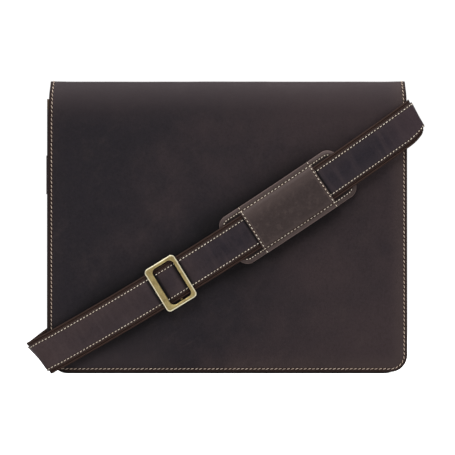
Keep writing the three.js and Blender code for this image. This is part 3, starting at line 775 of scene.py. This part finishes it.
def flap_rows():
    """Rows of the flap's outer face: y, z, whether on the front, and distance from the rear hem."""
    rear_y = BODY.back_y + GAP + FLAP.leather
    near, far = quarter(STEPS.roll)
    rise = FLAP.hem + from_edge_to(ROLL_Z - FLAP.hem, STEPS.flap_rise)
    rear = from_edge_to(FLAP.top - FLAP.rear_radius - FLAP.rear_hem, STEPS.flap_rear)[::-1]
    y = chain(np.zeros(len(rise)), FRONT.top_y + FLAP.roll_depth * near[1:],
              rear_y - FLAP.rear_radius * far, np.full(len(rear) - 1, rear_y))
    z = chain(rise, FLAP.top - FLAP.roll_height * far[1:],
              FLAP.top - FLAP.rear_radius * near, FLAP.rear_hem + rear[1:])
    number = np.arange(len(z))
    from_hem = np.where(number > len(z) - len(rear), z - FLAP.rear_hem, np.inf)
    return y, z, number < len(rise), from_hem


def beside_strap(grid):
    """Shade on the flap: deepest by the strap's and the pad's edges, gone at the right fold."""
    x = np.linspace(RUN.left[0], RUN.right[0], STEPS.shade)
    middle = on_run(x, 0, 0)
    half = np.where(np.abs(x - PAD.x) < SHADE_PAD_HALF, PAD.width, WEBBING.width) / 2
    away = np.linalg.norm(grid[:, :, None, ::2] - middle[:, ::2], axis=-1) - half
    nearest = away.argmin(axis=-1)
    distance = np.maximum(0, away.min(axis=-1)) / eased(SHADE_REACH, x)[nearest]
    return eased(SHADE_DEPTH, x)[nearest] * np.exp(-(distance ** SHADE_POWER))


def build_flap():
    y, z, front, from_hem = flap_rows()
    narrow = np.where(~front & (y > (FRONT.top_y + BODY.back_y) / 2), FLAP.rear_narrowing, 0)
    up = smooth(z, FLAP.rear_hem, FLAP.top)
    full = FLAP.half - (narrow + (FLAP.top_narrowing - narrow) * up)
    full = full - CREST.narrowing * smooth(z, CREST.start, FLAP.top)
    half = np.where(front, rounded_half(full, FLAP.corner, z - FLAP.hem), full)
    x = FLAP.middle + np.array([spread(row, CLOSE, STEPS.flap_across) for row in half])
    height = np.where(front, z - FLAP.hem, np.inf)[:, None]
    edge = border_distance(x - FLAP.middle, height, full[:, None], FLAP.corner)
    edge = np.minimum(edge, from_hem[:, None])
    grid = points(x, np.where(front[:, None], front_y(x, z[:, None]), y[:, None]), z[:, None])
    normal = unit(np.cross(np.gradient(grid, axis=1), np.gradient(grid, axis=0)))
    normal *= -np.sign(normal[len(z) // 4, x.shape[1] // 2, 1])
    dents = hollows(grid * OVER_TOP, *HOLLOWS.flap_wide) + hollows(grid, *HOLLOWS.flap_small)
    drop = dents * smooth(edge, *SET_IN.flap)
    seam = sewn(edge, SEAM.flap_edge)
    dip = rounding(edge, ROUND.flap)
    outer = grid - normal * (drop + dip + THREAD.groove * seam)[..., None]
    inner = grid - normal * (FLAP.leather - dip + drop * INNER.flap_hollow)[..., None]
    shade = np.where(front[:, None], beside_strap(grid), 0)
    # Paler tone: painted light from above on the roll, and paler towards the lower left corner.
    foot = eased(PALE.foot_rise, grid[..., 2]) * eased(PALE.foot_side, grid[..., 0])
    bent = np.maximum(eased(PALE.roll, z)[:, None], foot)
    sheet("flap", "hide", "flap_leather", outer, inner,
          edge_mm=edge, shade=shade, bent=bent, seam=seam)
    sew_flap(y, z, half, front)


def sew_flap(y, z, half, front):
    """One row round the flap's border, over the top and along the hem, and two along its rear hem."""
    inset = SEAM.flap_edge
    above_hems = (z > FLAP.rear_hem + ROW_ENDS.rear_rise) | front
    side = (z > FLAP.hem + FLAP.corner + ROW_ENDS.flap_side) & above_hems
    rise = points(half[side] - inset, y[side], z[side])
    on_front = front[side]
    rise[on_front, 1] = front_y(rise[on_front, 0], rise[on_front, 2])
    way = unit(np.gradient(rise[:, 1:], axis=0))
    rise_out = points(0, -way[:, 1], way[:, 0])
    base = np.linspace(ROW_ENDS.flap_flat, ROW_ENDS.middle, ROW.hem)
    x, low = half_border(FLAP.half, FLAP.corner, inset, base[:0], base, ROW.corner)
    hem = points(x, front_y(x, low + FLAP.hem), low + FLAP.hem)[::-1]
    right = chain(hem, rise)
    out = chain(np.broadcast_to(HEM_OUT, hem.shape), rise_out)
    row = chain((right * [-1, 1, 1])[::-1], right) + [FLAP.middle, 0, 0]
    outs = chain(out[::-1], out)
    sew("flap_stitches", [(row + outs * THREAD.sink, outs)],
        slant=THREAD.flap_slant, length=THREAD.flap_length)
    reach = FLAP.half - ROW_ENDS.rear_side
    across = np.linspace(-reach, reach, ROW.across)
    rear_y = BODY.back_y + GAP + FLAP.leather + THREAD.sink
    hems = [(points(across, rear_y, FLAP.rear_hem + up), [0, 1, 0]) for up in SEAM.hem_rows]
    sew("rear_hem_stitches", hems)


def build_panel(name, top, face_y, outward):
    """A body panel: its outer face, given as y of x and z, and the direction that face looks in."""
    rise = from_edge_to(top, STEPS.panel)
    halves = rounded_half(BODY.half, BODY.corner, rise)
    x = np.array([spread(half, CLOSE, STEPS.panel_across) for half in halves])
    z = rise[:, None]
    edge = np.minimum(border_distance(x, z, BODY.half, BODY.corner), top - z)
    x = x + BODY.middle
    y = face_y(x, z)
    dip = rounding(edge, ROUND.body)
    dents = hollows(points(x, 0, z), *HOLLOWS.panel) * smooth(edge, *SET_IN.panel)
    seam = sewn(edge, SEAM.rim_edge)
    outer = points(x, y - outward * (dip + dents + THREAD.groove * seam), z)
    inner = points(x, y - outward * (BODY.panel - dip), z)
    sheet(name, "hide", "body_leather", outer, inner, edge_mm=edge, seam=seam)
    side = np.linspace(top - ROW_ENDS.panel_top, BODY.corner + ROW_ENDS.panel_side, ROW.side)
    base = np.linspace(BODY.half - ROW_ENDS.panel_flat, ROW_ENDS.middle, ROW.hem)
    sx, sz = half_border(BODY.half, BODY.corner, SEAM.rim_edge, side, base, ROW.corner)
    sx, sz = chain(sx, -sx[::-1]) + BODY.middle, chain(sz, sz[::-1])
    row = points(sx, face_y(sx, sz) + outward * THREAD.sink, sz)
    sew(f"{name}_stitches", [(row, [0, outward, 0])])


def build_gusset():
    """The channel between the panels: two sewn flanges, two soft bends and a floor between them."""
    side = np.linspace(GUSSET.top, BODY.corner, GUSSET_STEPS.side)[:-1]
    base = np.linspace(BODY.half - BODY.corner, 0, GUSSET_STEPS.base)[1:]

    def border(inset):
        """The panels' border, that far in, from the left side's top to the right side's."""
        x, z = half_border(BODY.half, BODY.corner, inset, side, base, GUSSET_STEPS.corner)
        return points(chain(-x, x[-2::-1]) + BODY.middle, 0, chain(z, z[-2::-1]))

    line = border(0)
    away = line - border(1)
    back = BODY.back_y - BODY.panel - GAP
    front = front_panel_y(line[:, 0], line[:, 2]) + BODY.panel + GAP
    bend, deep = GUSSET.bend, GUSSET.inset
    rise, run = quarter(GUSSET_STEPS.bend)
    flange = np.linspace(0, deep - bend, GUSSET_STEPS.flange)[:-1]
    depth = chain(flange, deep - bend * run)
    from_seam = chain(0 * flange, bend * rise)
    span = np.linspace(0, 1, GUSSET_STEPS.span)[1:-1]

    def face(lift):
        """The leather's face that lies this far from its outer one."""
        bent = depth - lift * smooth(depth, 0, deep)
        hollow = chain(bent, np.full(len(span), deep - lift), bent[::-1])
        seam = GUSSET.leather + lift
        start = np.tile(back - seam - from_seam, (len(line), 1))
        last = front[:, None] + seam + from_seam[::-1]
        middle = start[:, -1:] + (last[:, :1] - start[:, -1:]) * span
        spots = line[:, None] - away[:, None] * hollow[:, None]
        spots[..., 1] = np.concatenate([start, middle, last], axis=1)
        return spots

    outer, inner = face(0.0), face(-GUSSET.leather)
    number = np.arange(outer.shape[1])
    edge = np.minimum(number, number[::-1]) * FLANGE_STEP
    sheet("gusset", "hide", "body_leather", outer, inner, edge_mm=edge)


# The straps

def corner_weight(stations):
    """1 where the strap goes round the body's right side, easing to 0 on the front and the back."""
    high = stations.at[:, 2] > BODY.back_top - CORNER.below_top
    side = np.flatnonzero((stations.out[:, 0] > CORNER.facing) & high)
    if not len(side):
        return np.zeros(len(stations.along))
    first, last = stations.along[side[0]], stations.along[side[-1]]
    away = np.maximum(0, np.maximum(first - stations.along, stations.along - last))
    return (1 - np.clip(away / CORNER.reach, 0, 1)) ** 2


def strip(stations, across, low, high):
    """A grid for each face of a strip, whose lower edge is drawn up and in at the right side."""
    weight = corner_weight(stations)[:, None]
    lower = -across / (WEBBING.width / 2)
    drawn = across + CORNER.drawn_up * weight * smooth(lower, *CORNER.draw)
    curl = CORNER.curl * weight * smooth(lower, *CORNER.turn)
    line = stations.at[:, None] + stations.up[:, None] * drawn[..., None]
    out = stations.out[:, None]
    return line + out * (high - curl)[..., None], line + out * (low - curl)[..., None]


def strip_edge(stations, across):
    """How far the points of a strip lie from its sides and its ends."""
    along = stations.along
    ends = np.minimum(along - along[0], along[-1] - along)
    return np.minimum(across[-1] - np.abs(across), ends[:, None])


def build_webbing(name, stations, faced):
    """The woven strap, with a mark where its leather facing lies on it."""
    half = WEBBING.width / 2 + WEBBING.selvedge
    across = spread(half, WEBBING_CLOSE, STEPS.webbing)
    dip = rounding(half - np.abs(across), ROUND.webbing)
    outer, inner = strip(stations, across, dip, WEBBING.thick - dip)
    weave = np.stack(np.broadcast_arrays(stations.along[:, None], across), axis=-1)
    covered = (stations.along >= faced.along[0]) & (stations.along <= faced.along[-1])
    sheet(name, "cloth", "webbing", outer, inner, weave, faced=covered[:, None])


def strap_shade(at):
    """Shade on the strap where it goes under the slider's bars and the pad's bridge."""
    near = []
    for middle, rows in ((SLIDER.x, SLIDER_SHADE), (PAD.x, BRIDGE_SHADE)):
        along = (at[:, 0] - middle) / math.cos(run_slope(middle))
        near += [np.exp(-(((along - bar) / reach) ** UNDER_POWER)) for bar, reach in rows]
    return np.where(at[:, 1] < 0, UNDER_SHADE * np.max(near, axis=0), 0)


def build_facing(name, stations, thread_name):
    across = spread(FACING.width / 2, FACING_CLOSE, STEPS.facing)
    edge = strip_edge(stations, across)
    spots = stations.at[:, None] + stations.up[:, None] * across[:, None]
    pucker = hollows(spots, *HOLLOWS.facing) * smooth(edge, *SET_IN.facing)
    dip = rounding(edge, ROUND.facing)
    seam = sewn(np.abs(across), SEAM.strap_row)
    high = LAYERS - dip - THREAD.groove * seam - pucker
    low = LAYERS - FACING.thick + dip * INNER.facing_round
    outer, inner = strip(stations, across, low, high)
    shade = strap_shade(stations.at)[:, None]
    # Paler round the right fold: partly the pull-up of the bent leather, partly painted light.
    bent = eased(PALE.strap, stations.at[:, 0])[:, None]
    sheet(name, "leather", "strap_leather", outer, inner,
          edge_mm=edge, shade=shade, bent=bent, seam=seam)
    kept = part_of(stations, ROW_ENDS.strap, -ROW_ENDS.strap)
    places = np.array([-SEAM.strap_row, SEAM.strap_row])
    sewn_on, _ = strip(kept, places, np.zeros(2), np.full(2, LAYERS + THREAD.strap_sink))
    sew(thread_name, [(sewn_on[:, i], kept.out) for i in (0, 1)], "cream_thread", SEAM.strap_pitch)


# The shoulder pad

def on_pad(along, across, lift):
    return on_run(PAD.x + along * np.cos(run_slope(PAD.x)), across, lift)


def pad_roll(edge):
    """The rolled edge: 0 at the pad's border, 1 where its face is flat."""
    return np.sqrt(1 - (1 - np.clip(edge / PUFF.roll, 0, 1)) ** 2)


def pad_height(along, across):
    """The pad's upper face over the flap: fuller on its ends, beside the strap."""
    edge = border_distance(across, PAD.length / 2 - np.abs(along), PAD.width / 2, PAD.corner)
    bare = smooth(np.abs(along) - BRIDGE.length / 2, *PUFF.bare)
    sewn_down = PUFF.sewn_down * (1 - smooth(edge, *PUFF.sewn_reach)) * (1 - PUFF.bare_share * bare)
    puff = PAD.thick - sewn_down + PUFF.bare_rise * bare * smooth(np.abs(across), *PUFF.beside)
    return GAP + PUFF.rim + (puff - PUFF.less) * pad_roll(edge)


def build_pad():
    """A soft pad with a rolled edge and rounded corners, darker inside the rows on its bare ends."""
    half, wide = PAD.length / 2, PAD.width / 2
    along = spread(half, from_edge_to(*PAD_CLOSE.ends), STEPS.pad_along)
    width = rounded_half(wide, PAD.corner, half - np.abs(along))
    roomy = np.maximum(width, PAD_CLOSE.least)
    columns = np.array([spread(row, from_edge_to(*PAD_CLOSE.sides), STEPS.pad_across) for row in roomy])
    columns *= (width / roomy)[:, None]
    edge = border_distance(columns, (half - np.abs(along))[:, None], wide, PAD.corner)
    spots = on_pad(along[:, None], columns, 0)
    uneven = np.minimum(0, swell(spots, *HOLLOWS.pad) * smooth(edge, *SET_IN.pad))
    bare = np.abs(along)[:, None] > BRIDGE.length / 2
    seam = sewn(edge, SEAM.pad_edge) * bare
    high = pad_height(along[:, None], columns) + uneven - THREAD.groove * seam
    low = GAP + PUFF.rim - PUFF.below * pad_roll(edge)
    outer = on_pad(along[:, None], columns, high)
    inner = on_pad(along[:, None], columns, low)
    inside = smooth(edge, SEAM.pad_edge, SEAM.pad_edge + PAD_END_SHADE.width)
    shade = PAD_END_SHADE.depth * bare * inside
    pad = sheet("shoulder_pad", "soft", "pad_leather", outer, inner,
                edge_mm=edge, seam=seam, shade=shade, flesh=0.0)
    sew_pad_ends()


def sew_pad_ends():
    """A row round each corner of the pad, from the bridge's end until the strap covers it."""
    inset = SEAM.pad_edge
    half, wide, arc = PAD.length / 2 - inset, PAD.width / 2 - inset, PAD.corner - inset
    rise, run = quarter(ROW.pad_corner)
    straight = np.linspace(BRIDGE.length / 2 + ROW_ENDS.pad, half - arc, ROW.pad_end)
    along = chain(straight, half - arc * run)
    across = wide - arc * chain(0 * straight, rise)
    shown = across > WEBBING.width / 2 - ROW_ENDS.pad
    along, across = along[shown], across[shown]
    lift = pad_height(along, across) + THREAD.sink
    rows = [(on_pad(end * along, side * across, lift), FORWARD) for end in (-1, 1) for side in (-1, 1)]
    sew("pad_end_stitches", rows, "cream_thread", SEAM.pad_end_pitch)


def bridge_height(across):
    """The bridge's upper face over the flap: on the pad at its edges, over the strap between them."""
    foot, flat = BRIDGE.foot_half, BRIDGE.flat_half - BRIDGE_SOFT
    return PAD_LIFT + BRIDGE.thick + (LAYERS + GAP) * smooth(-np.abs(across), -foot, -flat)


def build_bridge():
    half, wide = BRIDGE.length / 2, PAD.width / 2
    along = spread(half, CLOSE, STEPS.bridge_along)[:, None]
    across = spread(wide, BRIDGE_CLOSE, STEPS.bridge_across)
    edge = np.minimum(half - np.abs(along), wide - np.abs(across))
    dip = rounding(edge, ROUND.bridge)
    between_ends = np.abs(along) < SEAM.bridge_end
    seam = np.maximum(sewn(np.abs(along), SEAM.bridge_end),
                      sewn(np.abs(across), SEAM.bridge_side) * between_ends)
    top = bridge_height(across)
    uneven = swell(on_pad(along, across, 0), *HOLLOWS.bridge) - HOLLOWS.bridge[0]
    uneven = uneven * smooth(edge, *SET_IN.bridge)
    outer = on_pad(along, across, top - dip - THREAD.groove * seam + uneven)
    inner = on_pad(along, across, top - BRIDGE.thick + dip)
    # Painted highlight along the bridge's ridges over the strap's edges, partly pull-up.
    bent = eased(PALE.bridge, across)
    sheet("pad_bridge", "leather", "pad_leather", outer, inner, edge_mm=edge, seam=seam, bent=bent)
    wide = np.linspace(ROW_ENDS.bridge - wide, wide - ROW_ENDS.bridge, ROW.across)
    length = np.linspace(-SEAM.bridge_end, SEAM.bridge_end, ROW.across)
    places = [(-SEAM.bridge_end, wide), (SEAM.bridge_end, wide),
              (length, -SEAM.bridge_side), (length, SEAM.bridge_side)]
    rows = [(on_pad(along, across, bridge_height(across) + THREAD.strap_sink), FORWARD)
            for along, across in places]
    sew("pad_stitches", rows, "cream_thread", SEAM.pad_pitch)


# Metal and the tabs that hold it

def rounded_outline(length, width, corner, middle=0.0, steps=STEPS.arc):
    """Points round a rounded rectangle, the same number for every size."""
    x, y = length / 2 - corner, width / 2 - corner
    arcs = [(x, y, 0), (-x, y, 90), (-x, -y, 180), (x, -y, 270)]
    spots = [np.stack([cx + corner * np.cos(t), cy + corner * np.sin(t)], axis=-1)
             for cx, cy, first in arcs for t in [turns(first, first + 90, steps)]]
    return chain(*spots) + [middle, 0.0]


def place_loops(name, node, loops, rub_and_highlight):
    """A closed ring of brass through loops of points, with the share of rubbing and painted highlight
    of each loop.
    """
    count, size = len(loops), len(loops[0])
    index = np.arange(count * size).reshape(count, size)
    faces = quads(np.pad(index, (0, 1), mode="wrap")).tolist()
    place_piece(name, "antique_brass", [node], chain(*loops), faces, {"rim": np.repeat(rub_and_highlight, size)})


def tube(start, end, radius, sides=STEPS.bar_round):
    """Points and faces of a closed round bar."""
    ahead = unit(end - start)
    first = unit(np.cross(ahead, NO_BAR))
    second = np.cross(ahead, first)
    around = turns(0, 360, sides)[:-1]
    ring = radius * (np.outer(np.cos(around), first) + np.outer(np.sin(around), second))
    spots = chain(start + ring, end + ring)
    index = np.arange(2 * sides).reshape(2, sides)
    faces = quads(np.pad(index, ((0, 0), (0, 1)), mode="wrap")).tolist()
    return spots, faces + [index[0, ::-1].tolist(), index[1].tolist()]


def build_slider():
    """The plate with rubbing and a painted highlight along its rims, and the centre bar on two lugs
    under it.
    """
    step = SLIDER.length / 4
    ahead = unit(on_run(SLIDER.x + step, 0, 0) - on_run(SLIDER.x - step, 0, 0))
    out = unit(np.cross(ahead, run_stations(np.float64(SLIDER.x), 0)[1]))
    axes = np.stack([ahead, np.cross(out, ahead), out])
    at = on_run(SLIDER.x, SLIDER.aside, 0)
    border = SLIDER.length, SLIDER.width, SLIDER.corner, 0
    window = (SLIDER.length - SLIDER.wide_bar - SLIDER.thin_bar, SLIDER.width - 2 * SLIDER.end_bar,
              SLIDER.window_corner, SLIDER_BAR)
    loops, rub_and_highlight = [], []
    for (length, width, corner, middle), way, share in ((border, -1, 1), (window, 1, WINDOW_RUB_AND_HIGHLIGHT)):
        for inset, height, worn_and_highlit in SLIDER_EDGE[::-way]:
            more = way * inset
            flat = rounded_outline(length + 2 * more, width + 2 * more, corner + more, middle)
            loops.append(at + points(*flat.T, SLIDER.under_plate + height) @ axes)
            rub_and_highlight.append(worn_and_highlit * share)
    place_loops("slider_plate", "slider_buckle", loops, rub_and_highlight)
    reach = (SLIDER.width - SLIDER.end_bar) / 2
    bar = (SLIDER.bar_height, SLIDER.bar_height)
    lug = (SLIDER.bar_height - LUG.below_bar, SLIDER.under_plate + LUG.into_plate)
    bars = [("slider_centre_bar", (-reach, reach), bar, SLIDER.bar_radius),
            ("slider_lower_lug", (-reach, -reach), lug, SLIDER.lug_radius),
            ("slider_upper_lug", (reach, reach), lug, SLIDER.lug_radius)]
    for name, across, heights, radius in bars:
        spots, faces = tube(*points(SLIDER_BAR, across, heights), radius)
        marks = {"rim": np.full(len(spots), BAR_RUB_AND_HIGHLIGHT)}
        place_piece(name, "antique_brass", [], at + spots @ axes, faces, marks)


def build_ring(place, side):
    """A ring of round rod, with a little rubbing and painted highlight on its inner and outer sides."""
    path = rounded_outline(RING.width - RING.bar, RING.height - RING.bar, RING.corner - RING.bar / 2,
                           0, STEPS.ring_arc)
    ahead = unit(np.roll(path, -1, axis=0) - np.roll(path, 1, axis=0))
    away = np.stack([ahead[:, 1], -ahead[:, 0]], axis=-1)
    around = turns(0, 360, STEPS.ring_round)[:-1]
    middle_y = RING.tab_bar_y + (RING.width - RING.bar) / 2
    loops = []
    for turn in around:
        flat = path - path.mean(axis=0) + away * (RING.bar / 2 * math.cos(turn))
        x = ring_x(side) + RING.bar / 2 * math.sin(turn)
        loops.append(points(x, middle_y + flat[:, 0], RING.middle_z + flat[:, 1]))
    place_loops(f"ring_{place}_rod", f"ring_{place}", loops, np.abs(np.cos(around)) * RING_RUB_AND_HIGHLIGHT)


def build_tab(place, side):
    """A strip of leather folded round the ring's front bar, its ends sewn together on the gusset."""
    eye = TAB_EYE - TAB.leather
    pressed = eye - TAB_FOLD.pressed
    loop = turns(-90, TAB.eye_end, STEPS.tab_eye)
    under = np.linspace(-TAB.length, -TAB_FOLD.start, STEPS.tab_under)
    y = chain(under, eye * np.cos(loop), [-TAB_FOLD.neck, -TAB.length / 2, -TAB.length])
    out = chain(np.full(len(under), -eye), eye * np.sin(loop), [-TAB_FOLD.neck_out, -pressed, -pressed])
    at = points(ring_x(side) + side * out, RING.tab_bar_y + y, RING.middle_z)
    stations = fine(level(at), STEPS.tab)
    stations.out *= -side
    half = TAB.width / 2
    across = spread(half, TAB_CLOSE, STEPS.tab_across)
    edge = strip_edge(stations, across)
    dip = rounding(edge, ROUND.tab)
    outer, inner = strip(stations, across, dip, TAB.leather - dip)
    name = f"ring_tab_{place}"
    sheet(name, "leather", "body_leather", outer, inner, edge_mm=edge)
    z = RING.middle_z + np.linspace(ROW_ENDS.tab - half, half - ROW_ENDS.tab, ROW.tab)
    x = ring_x(side) + side * (TAB.leather - pressed + THREAD.sink)
    row = points(x, RING.tab_bar_y - TAB.length + ROW_ENDS.tab, z)
    sew(f"{name}_stitches", [(row, [side, 0, 0])])


# Stage: floor, lights and camera

# Area lights in metres: name, place, aim, size, power and tint.
LIGHTS = [("key", (-0.9, -1.7, 2.2), (0, 0, 0.15), (1.2, 1.2), 35, (1, 1, 1)),
          ("fill", (1.6, -2.3, 0.7), (0, 0, 0.15), (1.6, 1.2), 10, (1, 0.97, 0.95)),
          ("top", (0.0, -0.05, 1.6), (0, 0, 0.2), (1.6, 0.4), 20, (1, 1, 1)),
          ("back", (0.4, 2.2, 1.4), (0, 0, 0.15), (1.8, 1.2), 26, (1, 1, 1))]


def build_stage():
    reach = 40.0
    corners = [(-reach, -reach, 0), (reach, -reach, 0), (reach, reach, 0), (-reach, reach, 0)]
    mesh = bpy.data.meshes.new("floor")
    mesh.from_pydata(corners, [], [(0, 1, 2, 3)])
    material, g, where = fresh_material("pale_floor")
    tone = g.layered((0.86, 0.86, 0.86, 1), (g.noise(where, 400, 2), (0.9, 0.9, 0.9, 1)))
    seen = g.add("ShaderNodeLightPath").out("Is Camera Ray")
    glow = g.layered((0, 0, 0, 1), (seen, (1, 1, 1, 1)))
    sockets = {"Specular IOR Level": 0.1, "Emission Color": glow, "Emission Strength": 1.0}
    mesh.materials.append(g.surface(material, tone, 0.9, g.noise(where, 2), 0.02, sockets))
    new_object("floor", mesh)


def build_lights():
    world = bpy.data.worlds.new("studio")
    g = fresh_tree(world)
    seen = g.add("ShaderNodeLightPath").out("Is Camera Ray")
    sky = g.add("ShaderNodeBackground", {"Color": (1, 1, 1, 1), "Strength": 0.1 + seen * 0.95})
    g.add("ShaderNodeOutputWorld", {"Surface": sky})
    bpy.context.scene.world = world
    for name, at, aim, size, power, tint in LIGHTS:
        lamp = bpy.data.lights.new(name, "AREA")
        lamp.shape = "RECTANGLE"
        lamp.size, lamp.size_y = size
        lamp.energy = power
        lamp.color = tint
        light = new_object(name, lamp)
        light.location = at
        light.rotation_euler = (Vector(aim) - Vector(at)).to_track_quat("-Z", "Y").to_euler()
    bpy.context.scene.view_settings.view_transform = "Standard"


def build_camera():
    """The photograph's view: level, square to the front, from far off."""
    view_width, picture_middle_z, front, distance, sensor = 0.4803, 0.1541, -0.030, 8.0, 36.0
    lens = bpy.data.cameras.new("camera")
    lens.sensor_width = sensor
    lens.lens = sensor * distance / view_width
    camera = new_object("camera", lens)
    camera.location = (0, front - distance, picture_middle_z)
    camera.rotation_euler = (math.radians(90), 0, 0)
    bpy.context.scene.camera = camera


build_camera()
build_lights()
build_stage()
build_flap()
build_panel("front_panel", BODY.front_top, front_panel_y, -1.0)
build_panel("back_panel", BODY.back_top, back_panel_y, 1.0)
build_gusset()
for place, side in (("left", -1), ("right", 1)):
    build_ring(place, side)
    build_tab(place, side)
for name, (whole, faced) in (("long_strap", long_strap()), ("short_strap", short_strap())):
    build_webbing(f"{name}_webbing", whole, faced)
    build_facing(f"{name}_facing", faced, f"{name}_stitches")
build_slider()
build_pad()
build_bridge()
